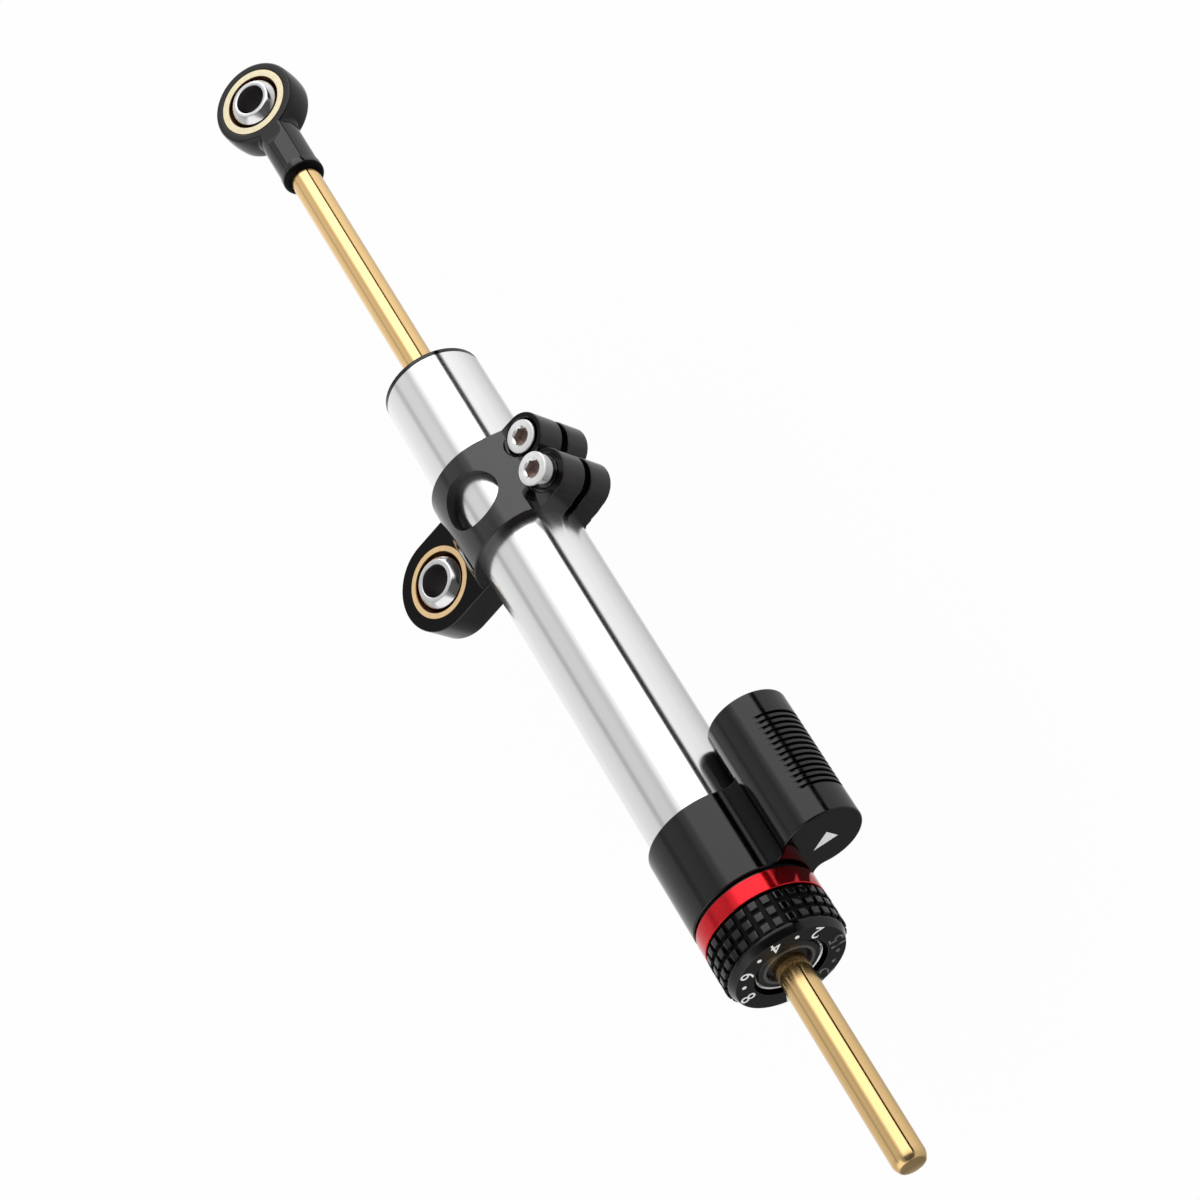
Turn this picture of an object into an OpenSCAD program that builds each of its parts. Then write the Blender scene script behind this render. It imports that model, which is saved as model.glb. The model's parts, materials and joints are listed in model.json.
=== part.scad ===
// Linear steering damper: a rod that runs right through a silver tube, a split clamp with a
// spherical bearing, a rod end with a second one, a reservoir beside the valve body and a
// numbered adjuster knob. Sizes are in millimetres.
// The origin is the centre of the clamp bearing. +X runs along the rod toward the knob, +Z is
// the bore axis of the clamp bearing and +Y points from that bearing to the damper axis.

/* [Rod] */
// Diameter of the rod
rod_d = 8.0; // [8:0.1:8.4]
// Rod that shows between the tube cap and the rod end
rod_show = 80.4; // [78:0.1:100]
// Rod that shows beyond the knob
rod_proud = 53.7; // [50:1:80]
// Length of the tapered lead-in at the rod tip
rod_lead = 1.9; // [1:0.1:3]

/* [Tube and cylinder] */
// Distance from the clamp bearing to the damper axis
axis_offset = 24.0; // [23.5:0.5:32]
// Outer diameter of the silver tube
tube_d = 25.6; // [25.2:0.1:26.4]
// Wall of the silver tube
tube_wall = 1.2; // [0.8:0.1:1.4]
// Tube on the rod end side of the clamp bearing
tube_before = 45.0; // [42:1:60]
// Tube between the clamp bearing and the valve body
tube_after = 102.0; // [98:1:120]
// Bore of the inner cylinder
cylinder_bore = 18.0; // [17.6:0.1:18.2]
// Wall of the inner cylinder
cylinder_wall = 1.0; // [0.8:0.1:1.2]

/* [Piston] */
// Length of the piston
piston_len = 12.0; // [9:0.5:14]
// Travel of the piston toward the rod end
travel_back = 43.0; // [40:1:45]
// Thickness of the piston clips
clip_t = 1.0; // [0.8:0.1:1.2]

/* [Tube cap] */
// Thickness of the cap lip that covers the tube end
cap_lip = 1.5; // [1:0.1:3]
// Depth of the cap inside the tube
cap_depth = 15.0; // [14.5:0.5:18]

/* [Clamp] */
// Wall of the band round the tube
band_wall = 2.7; // [2.4:0.1:3.4]
// Length of the band along the tube
band_len = 25.0; // [24:0.5:30]
// Shift of the band's middle from the bearing, toward the rod end
band_shift = 0.6; // [0:0.1:0.8]
// Width of the slot between the clamp jaws
slot_w = 2.2; // [1.5:0.1:3]
// Radius of the screw lobes
lobe_r = 6.1; // [5.9:0.1:6.2]
// Height of the lobe faces above the slot's middle
lobe_top = 8.8; // [8.4:0.1:9.6]
// Depth of the lobes below the slot's middle
lobe_bottom = 8.3; // [8:0.1:9.6]
// Distance from the damper axis to the clamp screws
lobe_out = 17.45; // [17.3:0.05:18]
// Distance between the two clamp screws
lobe_pitch = 12.45; // [12:0.05:12.6]
// Radius of the ends of the oval window in the band
window_r = 7.0; // [5:0.1:7.4]
// Distance between the centres of the window's ends
window_long = 2.3; // [1:0.1:2.6]
// Length of the relief at each end of the band's far side
relief_len = 3.5; // [1:0.1:5]
// Radius of the milled pocket beside the second lobe
pocket_r = 2.9; // [2.5:0.1:3.1]

/* [Clamp screws] */
// Thread diameter of the clamp screws
screw_d = 5.0; // [4.8:0.1:5.2]
// Diameter of the screw heads
screw_head_d = 8.4; // [8.2:0.1:8.7]
// Height of the screw heads
screw_head_h = 5.0; // [4.5:0.1:5.4]
// Width across the flats of the screw sockets
screw_hex = 4.0; // [3.5:0.1:4.5]
// Depth of the counterbore that sinks the first screw
sunk_depth = 4.4; // [3.8:0.1:4.8]

/* [Bearings] */
// Bore of both bearing balls
ball_bore = 8.0; // [7.6:0.1:8.2]
// Diameter of both bearing balls
ball_d = 15.88; // [15.7:0.02:16]
// Width of both bearing balls
ball_w = 12.0; // [11.6:0.1:12.2]
// Width of both races, and of the eyes that hold them
race_w = 9.0; // [8.8:0.1:9.2]
// Thickness of the liner round each ball
liner_t = 0.6; // [0.5:0.05:0.65]
// Radius of the race in the clamp
clamp_race_r = 9.1; // [9.05:0.05:9.3]
// Radius of the race in the rod end
end_race_r = 9.6; // [9.2:0.1:9.9]
// Radius of the clamp's bearing eye
ear_r = 12.2; // [11.9:0.1:12.8]

/* [Rod end] */
// Radius of the rod end's eye
eye_r = 12.1; // [11.8:0.1:13]
// Distance from the eye's centre to the end of its collar
shank_len = 29.3; // [28.5:0.1:33]
// Radius of the neck and of its collar
neck_r = 5.6; // [5.5:0.05:6]
// Depth of the two wrench flats on the neck
flat_depth = 0.3; // [0.2:0.05:0.6]
// Length of the round collar
collar_len = 3.5; // [2.5:0.1:5]
// Turn of the eye about the rod
eye_turn = -13.5; // [-30:0.5:30]
// Turn of the neck's flats against the eye
neck_turn = -15.5; // [-30:0.5:30]

/* [Valve body] */
// Radius of the valve body round the tube
valve_r = 14.9; // [14.8:0.1:15.2]
// Length of the valve body
valve_len = 22.4; // [22:0.1:24]
// Height of the step between the valve body and the red ring
valve_step = 0.9; // [0.6:0.1:1.2]
// Distance from the damper axis to the reservoir axis
reservoir_out = 22.9; // [22.4:0.1:23.4]
// Radius of the reservoir
reservoir_r = 9.8; // [9.4:0.1:9.8]
// Length of the reservoir
reservoir_len = 35.8; // [35:0.1:38]
// Bore radius of the reservoir
reservoir_bore_r = 7.5; // [7.4:0.05:7.55]
// Radius of the fillets between the valve body and the reservoir
web_fillet = 3.0; // [2.5:0.1:4]
// Number of cooling grooves
fin_count = 14; // [8:1:14]
// Pitch of the cooling grooves
fin_pitch = 1.6; // [1.4:0.1:1.6]
// Width of a cooling groove
fin_gap = 0.8; // [0.5:0.1:0.9]
// Depth of a cooling groove at its deepest
fin_depth = 1.0; // [0.6:0.1:1.1]

/* [Ring and knob] */
// Length of the red ring
ring_len = 4.8; // [4.6:0.1:6]
// Radius of the knob over that of the valve body
knob_over = 0.1; // [-0.2:0.1:1]
// Length of the knob
knob_len = 11.2; // [11:0.1:13]
// Width of the knob's chamfer
knob_chamfer = 2.4; // [1.5:0.1:2.6]
// Number of grip pads round the knob
pad_count = 30; // [20:1:36]
// Width of the gaps between the grip pads
pad_gap = 1.05; // [0.6:0.05:1.3]
// Depth of the gaps between the grip pads
pad_depth = 0.6; // [0.3:0.1:0.8]
// Radius of the recess in the knob's face
recess_r = 9.05; // [8.9:0.05:9.4]
// Number of click positions round the knob
click_count = 15; // [10:1:18]

/* [Clearances] */
// Radial clearance of faces that slide or turn on each other
run_gap = 0.05; // [0.03:0.01:0.08]
// Radial clearance of faces that are fixed in each other
seat_gap = 0.02; // [0.01:0.01:0.03]
// Clearance of moving faces that never touch
free_gap = 0.3; // [0.3:0.05:0.4]

/* [Hidden] */
$fn = 96;

rod_r = rod_d / 2;
tube_r = tube_d / 2;
tube_ir = tube_r - tube_wall;
cylinder_r = cylinder_bore / 2;
cylinder_or = cylinder_r + cylinder_wall;
tube_x0 = -tube_before;
cap_x0 = tube_x0 - cap_lip;
cylinder_x0 = tube_x0 + cap_depth;
chamber_x0 = cylinder_x0 + 4;
valve_x0 = tube_after;
valve_x1 = valve_x0 + valve_len;
tube_x1 = valve_x0 + 8;
cylinder_x1 = tube_x1 + 0.5;
chamber_x1 = cylinder_x1 - 3.5;

// Rod, piston and rod end along the axis.
clip_side = run_gap + clip_t;
piston_x = chamber_x0 + free_gap + clip_side + travel_back + piston_len / 2;
travel_on = chamber_x1 - free_gap - clip_side - piston_x - piston_len / 2;
piston_r = cylinder_r - free_gap;
clip_r = rod_r + 2;
clip_groove_r = rod_r - 0.6;
shank_x1 = cap_x0 - rod_show;
eye_x = shank_x1 - shank_len;
rod_x0 = shank_x1 - 14;

// Seals and bushes on the rod.
bush_r = rod_r + 1;
seal_r = rod_r + 2.2;
wiper_r = rod_r + 1.6;
rod_hole_r = rod_r + free_gap;

// Clamp.
band_r = tube_r + band_wall;
band_x0 = -band_len / 2 - band_shift;
band_x1 = band_len / 2 - band_shift;
lobe_xa = -lobe_pitch / 2 - 0.72;
lobe_xb = lobe_pitch / 2 - 0.72;
lobe_y = axis_offset + lobe_out;
head_r = screw_head_d / 2;
head_hole_r = head_r + 0.5;

// Bearings.
ball_r = ball_d / 2;
liner_ir = ball_r + run_gap;
liner_or = liner_ir + liner_t;
race_bore_r = liner_or + run_gap;
race_lip_r = sqrt(race_bore_r * race_bore_r - race_w * race_w / 4);

// Valve body, ring and knob.
chamber_r = 11;
wall_x0 = valve_x1 - 2;
step_x1 = valve_x1 + valve_step;
ring_x1 = step_x1 + ring_len;
knob_x0 = ring_x1 + 0.2;
knob_x1 = knob_x0 + knob_len;
rod_x1 = knob_x1 + rod_proud;
neck_or = 9.8;
spigot_r = 7.6;
shelf_x = knob_x1 - 2.1;
knob_r = valve_r + knob_over;
eyes_angle = 60;
spigot_x1 = knob_x1 - 0.9;
detent_r = (neck_or + run_gap + 1.35 + valve_r) / 2;
detent_ball_r = 1.2;
meter_x0 = valve_x1 - 6.1;
sleeve_x0 = meter_x0 + 0.1;
sleeve_x1 = wall_x0 - 0.3;
sleeve_r = chamber_r - 0.5;
pin_r = 0.6;
meter_r = 9.1;
web_y = (pow(valve_r + web_fillet, 2) - pow(reservoir_r + web_fillet, 2)
  + reservoir_out * reservoir_out) / (2 * reservoir_out);
web_z = sqrt(pow(valve_r + web_fillet, 2) - web_y * web_y);

// Reservoir.
reservoir_y = axis_offset + reservoir_out;
reservoir_x0 = valve_x1 - reservoir_len;
reservoir_end = valve_x1 - 3.4;
plug_x0 = reservoir_x0 + 0.4;
plug_x1 = plug_x0 + 5;
float_x0 = plug_x1 + 6;
float_x1 = float_x0 + 6;
float_r = reservoir_bore_r - run_gap;

// Turns a profile of [radius, x] points about the damper axis.
module turned(profile) {
  translate([0, axis_offset, 0]) rotate([0, 90, 0]) rotate_extrude() polygon(profile);
}

// Cylinder along X on the damper axis.
module bar(x0, x1, r) {
  translate([x0, axis_offset, 0]) rotate([0, 90, 0]) cylinder(r = r, h = x1 - x0);
}

// Round section ring about the damper axis.
module oring(x, outer_r, r) {
  translate([x, axis_offset, 0]) rotate([0, 90, 0]) rotate_extrude()
    translate([outer_r - r, 0]) circle(r = r, $fn = 32);
}

// Cylinder along X at a radius and an angle about the damper axis.
module off_bar(x0, x1, r, out, angle) {
  translate([x0, axis_offset, 0]) rotate([angle, 0, 0]) translate([0, out, 0])
    rotate([0, 90, 0]) cylinder(r = r, h = x1 - x0, $fn = 48);
}

// Cylinder along X on the reservoir axis.
module reservoir_bar(x0, x1, r) {
  translate([x0, reservoir_y, 0]) rotate([0, 90, 0]) cylinder(r = r, h = x1 - x0);
}

// Hexagonal prism along Z.
module hex_bar(across, h) {
  cylinder(r = across / sqrt(3), h = h, $fn = 6);
}

// Coil spring along Z with six-sided wire.
module coil(mean_r, wire_r, length, curls) {
  rings = curls * 8;
  rise = length - 2 * wire_r;
  points = [for (i = [0 : rings]) for (k = [0 : 5])
    let (a = i * 45, b = k * 60)
    [(mean_r + wire_r * cos(b)) * cos(a), (mean_r + wire_r * cos(b)) * sin(a),
      wire_r + rise * i / rings + wire_r * sin(b)]];
  sides = [for (i = [0 : rings - 1]) for (k = [0 : 5])
    [i * 6 + k, i * 6 + (k + 1) % 6, i * 6 + 6 + (k + 1) % 6, i * 6 + 6 + k]];
  echo(least_spring_gap = rise / curls - 2 * wire_r);
  polyhedron(concat(points), concat(sides, [[5, 4, 3, 2, 1, 0]],
    [[for (k = [0 : 5]) rings * 6 + k]]));
}

// Spherical race: a ring with a ball-shaped bore, its rims broken by small chamfers.
module race(outer_r) {
  difference() {
    rotate_extrude() polygon([[6, -race_w / 2], [outer_r - 0.25, -race_w / 2],
      [outer_r, 0.25 - race_w / 2], [outer_r, race_w / 2 - 0.25],
      [outer_r - 0.25, race_w / 2], [6, race_w / 2]]);
    sphere(r = race_bore_r);
    translate([0, 0, race_w / 2 - 0.15]) cylinder(r1 = race_lip_r, r2 = race_lip_r + 0.3, h = 0.3);
    translate([0, 0, -race_w / 2 - 0.15]) cylinder(r1 = race_lip_r + 0.3, r2 = race_lip_r, h = 0.3);
  }
}

// Low-friction liner that turns in the race about the bore axis.
module liner() {
  difference() {
    intersection() {
      sphere(r = liner_or);
      translate([0, 0, 0.2 - race_w / 2]) cylinder(r = liner_or, h = race_w - 0.4);
    }
    sphere(r = liner_ir);
  }
}

// Bearing ball with flat ends and a chamfered bore.
module ball() {
  difference() {
    intersection() {
      sphere(r = ball_r);
      translate([0, 0, -ball_w / 2]) cylinder(r = ball_r, h = ball_w);
    }
    translate([0, 0, -ball_w]) cylinder(r = ball_bore / 2, h = 2 * ball_w);
    for (side = [-1, 1]) translate([0, 0, side * ball_w / 2]) rotate([90 - side * 90, 0, 0])
      translate([0, 0, -0.2]) cylinder(r1 = ball_bore / 2, r2 = ball_bore / 2 + 0.4, h = 0.4);
  }
}

// Puts a part of the rod end in place at its turned eye.
module at_eye() {
  translate([eye_x, axis_offset, 0]) rotate([eye_turn, 0, 0]) children();
}

module rod() color([0.86, 0.66, 0.24]) {
  turned([[0, rod_x0], [rod_r - 0.4, rod_x0], [rod_r, rod_x0 + 0.4],
    [rod_r, piston_x - piston_len / 2 - run_gap - clip_t],
    [clip_groove_r, piston_x - piston_len / 2 - run_gap - clip_t],
    [clip_groove_r, piston_x - piston_len / 2 - run_gap],
    [rod_r, piston_x - piston_len / 2 - run_gap],
    [rod_r, piston_x + piston_len / 2 + run_gap],
    [clip_groove_r, piston_x + piston_len / 2 + run_gap],
    [clip_groove_r, piston_x + piston_len / 2 + run_gap + clip_t],
    [rod_r, piston_x + piston_len / 2 + run_gap + clip_t],
    [rod_r, rod_x1 - rod_lead], [rod_r - 0.8, rod_x1], [0, rod_x1]]);
}

module piston() color([0.72, 0.73, 0.75]) {
  difference() {
    turned([[rod_r + run_gap, piston_x - piston_len / 2],
      [piston_r - 0.4, piston_x - piston_len / 2], [piston_r, piston_x - piston_len / 2 + 0.4],
      [piston_r, piston_x - 2.5], [piston_r - 1.2, piston_x - 2.5],
      [piston_r - 1.2, piston_x + 2.5], [piston_r, piston_x + 2.5],
      [piston_r, piston_x + piston_len / 2 - 0.4], [piston_r - 0.4, piston_x + piston_len / 2],
      [rod_r + run_gap, piston_x + piston_len / 2]]);
    for (angle = [90, 270])
      off_bar(piston_x - piston_len, piston_x + piston_len, 0.4, clip_r + 0.7, angle);
  }
}

module piston_band() color([0.30, 0.24, 0.16]) {
  turned([[piston_r - 1.2 + seat_gap, piston_x - 2.45], [cylinder_r - run_gap, piston_x - 2.45],
    [cylinder_r - run_gap, piston_x + 2.45], [piston_r - 1.2 + seat_gap, piston_x + 2.45]]);
}

// One open clip in a rod groove, its left face at x.
module rod_clip(x) {
  difference() {
    bar(x + seat_gap, x + clip_t - seat_gap, clip_r);
    bar(x - 1, x + clip_t + 1, clip_groove_r + seat_gap);
    translate([x - 1, axis_offset, -1.2]) cube([clip_t + 2, clip_r + 1, 2.4]);
  }
}

module piston_clips() color([0.45, 0.46, 0.48]) {
  rod_clip(piston_x - piston_len / 2 - run_gap - clip_t);
  rod_clip(piston_x + piston_len / 2 + run_gap);
}

module rod_end_body() color([0.10, 0.10, 0.11]) {
  difference() {
    union() {
      at_eye() rotate_extrude() polygon([[0, -race_w / 2], [eye_r - 0.5, -race_w / 2],
        [eye_r, 0.5 - race_w / 2], [eye_r, race_w / 2 - 0.5], [eye_r - 0.5, race_w / 2],
        [0, race_w / 2]]);
      difference() {
        bar(eye_x + 9, shank_x1 - collar_len, neck_r);
        for (side = [0, 180]) translate([eye_x, axis_offset, 0])
          rotate([eye_turn + neck_turn + side, 0, 0])
          translate([0, -neck_r, neck_r - flat_depth]) cube([shank_len, 2 * neck_r, neck_r]);
      }
      turned([[0, shank_x1 - collar_len], [neck_r, shank_x1 - collar_len],
        [neck_r, shank_x1 - 1.2], [neck_r - 0.3, shank_x1 - 0.4], [neck_r - 0.8, shank_x1],
        [0, shank_x1]]);
    }
    at_eye() translate([0, 0, -race_w]) cylinder(r = end_race_r + seat_gap, h = 2 * race_w);
    for (side = [0, 180]) at_eye() rotate([side, 0, 0]) rotate_extrude()
      polygon([[0, race_w / 2], [eye_r + 1.7, race_w / 2], [eye_r + 4.8, race_w / 2 + 1.4],
        [eye_r + 6, race_w], [0, race_w]]);
    bar(rod_x0 - 0.6, shank_x1 + 1, rod_r + seat_gap);
    turned([[0, shank_x1 - 0.3], [rod_r + 0.2, shank_x1 - 0.3], [rod_r + 0.5, shank_x1],
      [rod_r + 0.5, shank_x1 + 1], [0, shank_x1 + 1]]);
  }
}

module rod_end_race() color([0.80, 0.72, 0.50]) {
  at_eye() race(end_race_r);
}

module rod_end_liner() color([0.30, 0.19, 0.10]) {
  at_eye() liner();
}

module rod_end_ball() color([0.86, 0.87, 0.88]) {
  at_eye() ball();
}

module outer_tube() color([0.78, 0.79, 0.80]) {
  difference() {
    bar(tube_x0, tube_x1, tube_r);
    bar(tube_x0 - 1, tube_x1 + 1, tube_ir);
  }
}

module inner_cylinder() color([0.66, 0.67, 0.69]) {
  difference() {
    bar(cylinder_x0, cylinder_x1, cylinder_or);
    bar(cylinder_x0 - 1, cylinder_x1 + 1, cylinder_r);
    for (angle = [0, 90]) translate([chamber_x0 + 1.6, axis_offset, 0]) rotate([angle, 0, 0])
      translate([0, 0, -cylinder_or - 1]) cylinder(r = 1.1, h = 2 * cylinder_or + 2, $fn = 48);
  }
}

module upper_gland() color([0.09, 0.09, 0.10]) {
  difference() {
    turned([[rod_hole_r, cap_x0], [tube_r - 0.3, cap_x0], [tube_r, cap_x0 + 0.3],
      [tube_r, tube_x0], [tube_ir - seat_gap, tube_x0], [tube_ir - seat_gap, tube_x0 + 4],
      [tube_ir - 1.3, tube_x0 + 4], [tube_ir - 1.3, tube_x0 + 6],
      [tube_ir - seat_gap, tube_x0 + 6], [tube_ir - seat_gap, cylinder_x0],
      [cylinder_r - seat_gap, cylinder_x0], [cylinder_r - seat_gap, chamber_x0],
      [rod_hole_r, chamber_x0]]);
    bar(cap_x0 - 1, cap_x0 + 2.6, wiper_r);
    bar(cap_x0 + 5, cap_x0 + 7.6, seal_r);
    bar(cap_x0 + 9, chamber_x0 + 1, bush_r);
    for (angle = [45, 225])
      off_bar(cap_x0 - 1, cap_x0 + 3, 1.1, tube_ir - 2.6, angle);
  }
}

// Plain bush with chamfered ends.
module bush(x0, x1) {
  turned([[rod_r + run_gap, x0], [bush_r - seat_gap - 0.2, x0], [bush_r - seat_gap, x0 + 0.2],
    [bush_r - seat_gap, x1 - 0.2], [bush_r - seat_gap - 0.2, x1], [rod_r + run_gap, x1]]);
}

// Rod seal with a hollow side, in a groove 2.6 wide.
module rod_seal(x0) {
  turned([[rod_r + run_gap, x0 + 0.1], [seal_r - seat_gap, x0 + 0.1],
    [seal_r - seat_gap, x0 + 2.5], [seal_r - 0.7, x0 + 2.5], [rod_r + 1.1, x0 + 1.3],
    [rod_r + 0.7, x0 + 2.5], [rod_r + run_gap, x0 + 2.5]]);
}

module upper_bush() color([0.66, 0.48, 0.24]) {
  bush(cap_x0 + 9.2, chamber_x0 - 0.2);
}

module upper_rod_seal() color([0.20, 0.20, 0.22]) {
  rod_seal(cap_x0 + 5);
}

module upper_wiper() color([0.07, 0.07, 0.07]) {
  turned([[rod_r + run_gap, cap_x0 + 0.6], [rod_r + 0.5, cap_x0 + 0.6],
    [wiper_r - seat_gap, cap_x0 + 1.2], [wiper_r - seat_gap, cap_x0 + 2.5],
    [rod_r + run_gap, cap_x0 + 2.5]]);
}

module upper_oring() color([0.05, 0.05, 0.05]) {
  oring(tube_x0 + 5, tube_ir - seat_gap, 0.6);
}

// Outline of the clamp in the plane of its slot, lobes and block.
module clamp_block() {
  translate([lobe_xa, lobe_y, -lobe_bottom]) cylinder(r = lobe_r, h = lobe_top + lobe_bottom);
  translate([lobe_xb, lobe_y, -lobe_bottom]) cylinder(r = lobe_r, h = lobe_top + lobe_bottom);
  translate([lobe_xa - lobe_r, axis_offset + tube_r - 4, -lobe_bottom])
    cube([lobe_pitch + 2 * lobe_r, lobe_out - tube_r + 4, lobe_top + lobe_bottom]);
}

// Screw hole through both jaws: head hole, clear hole and the thread's core.
module screw_hole(x, depth) {
  translate([x, lobe_y, lobe_top - depth]) cylinder(r = head_hole_r, h = lobe_top + depth);
  translate([x, lobe_y, -slot_w / 2]) cylinder(r = screw_d / 2 + 0.25, h = lobe_top + slot_w);
  translate([x, lobe_y, -2 * lobe_bottom])
    cylinder(r = screw_d / 2 + seat_gap, h = 2 * lobe_bottom);
}

module clamp_body() color([0.08, 0.08, 0.09]) {
  difference() {
    union() {
      turned([[0, band_x0], [band_r - 0.4, band_x0], [band_r, band_x0 + 0.4],
        [band_r, band_x1 - 0.4], [band_r - 0.4, band_x1], [0, band_x1]]);
      rotate_extrude() polygon([[0, -race_w / 2], [ear_r - 0.4, -race_w / 2],
        [ear_r, 0.4 - race_w / 2], [ear_r, race_w / 2 - 0.4], [ear_r - 0.4, race_w / 2],
        [0, race_w / 2]]);
      translate([-ear_r, 0, -race_w / 2]) cube([2 * ear_r, axis_offset - 8, race_w]);
      clamp_block();
    }
    bar(band_x0 - 1, band_x1 + 1, tube_r + seat_gap);
    turned([[0, band_x0 - 1], [tube_r + 0.6, band_x0 - 1], [tube_r + 0.6, band_x0],
      [tube_r, band_x0 + 0.6], [0, band_x0 + 0.6]]);
    turned([[0, band_x1 + 1], [tube_r + 0.6, band_x1 + 1], [tube_r + 0.6, band_x1],
      [tube_r, band_x1 - 0.6], [0, band_x1 - 0.6]]);
    translate([0, 0, -race_w]) cylinder(r = clamp_race_r + seat_gap, h = 2 * race_w);
    translate([band_x0 - 1, axis_offset + tube_r - 3, -slot_w / 2])
      cube([band_len + 2, lobe_out + lobe_r, slot_w]);
    screw_hole(lobe_xa, sunk_depth);
    screw_hole(lobe_xb, 0.5);
    translate([-0.96, axis_offset, 5]) rotate([0, 0, -15.7]) {
      for (y = [-window_long / 2, window_long / 2]) translate([0, y, 0])
        cylinder(r = window_r, h = band_r);
      translate([-window_r, -window_long / 2, 0]) cube([2 * window_r, window_long, band_r]);
    }
    for (x = [band_x0 - 1, band_x1 - relief_len])
      translate([x, axis_offset - band_r - 1, -2 * band_r])
      cube([relief_len + 1, 2 * band_r + 2, 2 * band_r - lobe_bottom]);
    translate([band_x1 - 0.2 - pocket_r, lobe_y - 3.7, lobe_top]) cylinder(r = pocket_r, h = 9);
    translate([band_x1 - 0.2 - pocket_r, lobe_y - 3.7 - pocket_r, lobe_top])
      cube([pocket_r + 4, 2 * pocket_r, 9]);
  }
}

module clamp_race() color([0.80, 0.72, 0.50]) {
  race(clamp_race_r);
}

module clamp_liner() color([0.30, 0.19, 0.10]) {
  liner();
}

module clamp_ball() color([0.86, 0.87, 0.88]) {
  ball();
}

// Socket screw along Z with the seat of its head at z.
module socket_screw(x, z) {
  difference() {
    union() {
      translate([x, lobe_y, z]) rotate_extrude() polygon([[0, 0], [head_r, 0],
        [head_r, screw_head_h - 0.4], [head_r - 0.4, screw_head_h], [0, screw_head_h]]);
      translate([x, lobe_y, 0.6 - lobe_bottom])
        cylinder(r = screw_d / 2, h = z + lobe_bottom - 0.6);
    }
    translate([x, lobe_y, z + screw_head_h - 2.5]) hex_bar(screw_hex, 3);
    translate([x, lobe_y, z + screw_head_h - 0.3])
      cylinder(r1 = screw_hex / 2, r2 = screw_hex / 2 + 0.6, h = 0.6);
  }
}

module clamp_screws() color([0.82, 0.83, 0.85]) {
  socket_screw(lobe_xa, lobe_top - sunk_depth);
  socket_screw(lobe_xb, lobe_top - 0.5);
}

// Web between the valve body and the reservoir, seen along the rod.
module web_outline() {
  difference() {
    polygon([[0, 0], [web_z, web_y], [0, reservoir_out], [-web_z, web_y]]);
    translate([web_z, web_y]) circle(r = web_fillet);
    translate([-web_z, web_y]) circle(r = web_fillet);
  }
}

// One cooling groove across the reservoir's outer side.
module fin_groove(x) {
  translate([x - fin_gap / 2, reservoir_y, 0]) rotate([0, 90, 0]) difference() {
    cylinder(r = reservoir_r + 5, h = fin_gap);
    translate([0, -2.4, -1]) cylinder(r = reservoir_r - fin_depth + 2.4, h = fin_gap + 2);
  }
}

module valve_body() color([0.07, 0.07, 0.08]) {
  difference() {
    union() {
      turned([[0, valve_x0], [valve_r - 0.5, valve_x0], [valve_r, valve_x0 + 0.5],
        [valve_r, valve_x1], [valve_r - 0.9, valve_x1], [valve_r - 0.9, step_x1],
        [neck_or + run_gap + 1.35, step_x1], [neck_or + run_gap + 1.35, step_x1 + 3],
        [0, step_x1 + 3]]);
      translate([reservoir_x0, reservoir_y, 0]) rotate([0, 90, 0]) rotate_extrude()
        polygon([[0, 0], [reservoir_r - 0.5, 0], [reservoir_r, 0.5],
          [reservoir_r, reservoir_len], [0, reservoir_len]]);
      translate([valve_x0, axis_offset, 0]) rotate([0, 90, 0]) linear_extrude(valve_len)
        web_outline();
    }
    bar(valve_x0 - 1, tube_x1, tube_r + seat_gap);
    bar(valve_x0 + 2, valve_x0 + 3.8, tube_r + 1);
    bar(valve_x0 + 1, wall_x0, chamber_r);
    bar(wall_x0 - 1, step_x1 + 4, neck_or + run_gap);
    reservoir_bar(reservoir_x0 - 1, reservoir_end, reservoir_bore_r);
    translate([tube_x1 + 1.6, reservoir_y - reservoir_bore_r, 0]) rotate([0, 0, -29])
      translate([-3, 0, 0]) rotate([0, 90, 0]) cylinder(r = 1, h = 12.6, $fn = 48);
    for (k = [0 : fin_count - 1])
      fin_groove(reservoir_x0 + 6.9 + k * fin_pitch);
  }
}

module valve_oring() color([0.05, 0.05, 0.05]) {
  oring(valve_x0 + 2.9, tube_r + 0.96, 0.46);
}

module lower_gland() color([0.11, 0.11, 0.12]) {
  difference() {
    turned([[rod_hole_r, chamber_x1], [cylinder_r - seat_gap, chamber_x1],
      [cylinder_r - seat_gap, cylinder_x1], [chamber_r - seat_gap, cylinder_x1],
      [chamber_r - seat_gap, meter_x0], [spigot_r, meter_x0], [spigot_r, shelf_x + 0.08],
      [spigot_r - 0.7, shelf_x + 0.08], [spigot_r - 0.7, shelf_x + 1.02],
      [spigot_r, shelf_x + 1.02], [spigot_r, spigot_x1 - 0.2], [spigot_r - 0.2, spigot_x1],
      [rod_hole_r, spigot_x1]]);
    bar(chamber_x1 - 1, meter_x0 - 1.2, bush_r);
    bar(meter_x0 + 1, meter_x0 + 3.6, seal_r);
    bar(spigot_x1 - 3, spigot_x1 + 1, wiper_r);
    translate([chamber_x1 - 1, axis_offset - chamber_r - 1, -1.5])
      translate([cylinder_x1 - chamber_x1 + 1, 0, 0])
      cube([meter_x0 - cylinder_x1 + 1, chamber_r + 1 - cylinder_r - 1, 3]);
    translate([chamber_x1, axis_offset + 7.1, 0]) rotate([0, 0, 10]) translate([-1, 0, 0])
      rotate([0, 90, 0]) cylinder(r = 0.8, h = 14, $fn = 48);
  }
}

module lower_bush() color([0.66, 0.48, 0.24]) {
  bush(chamber_x1 + 0.2, meter_x0 - 1.4);
}

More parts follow.
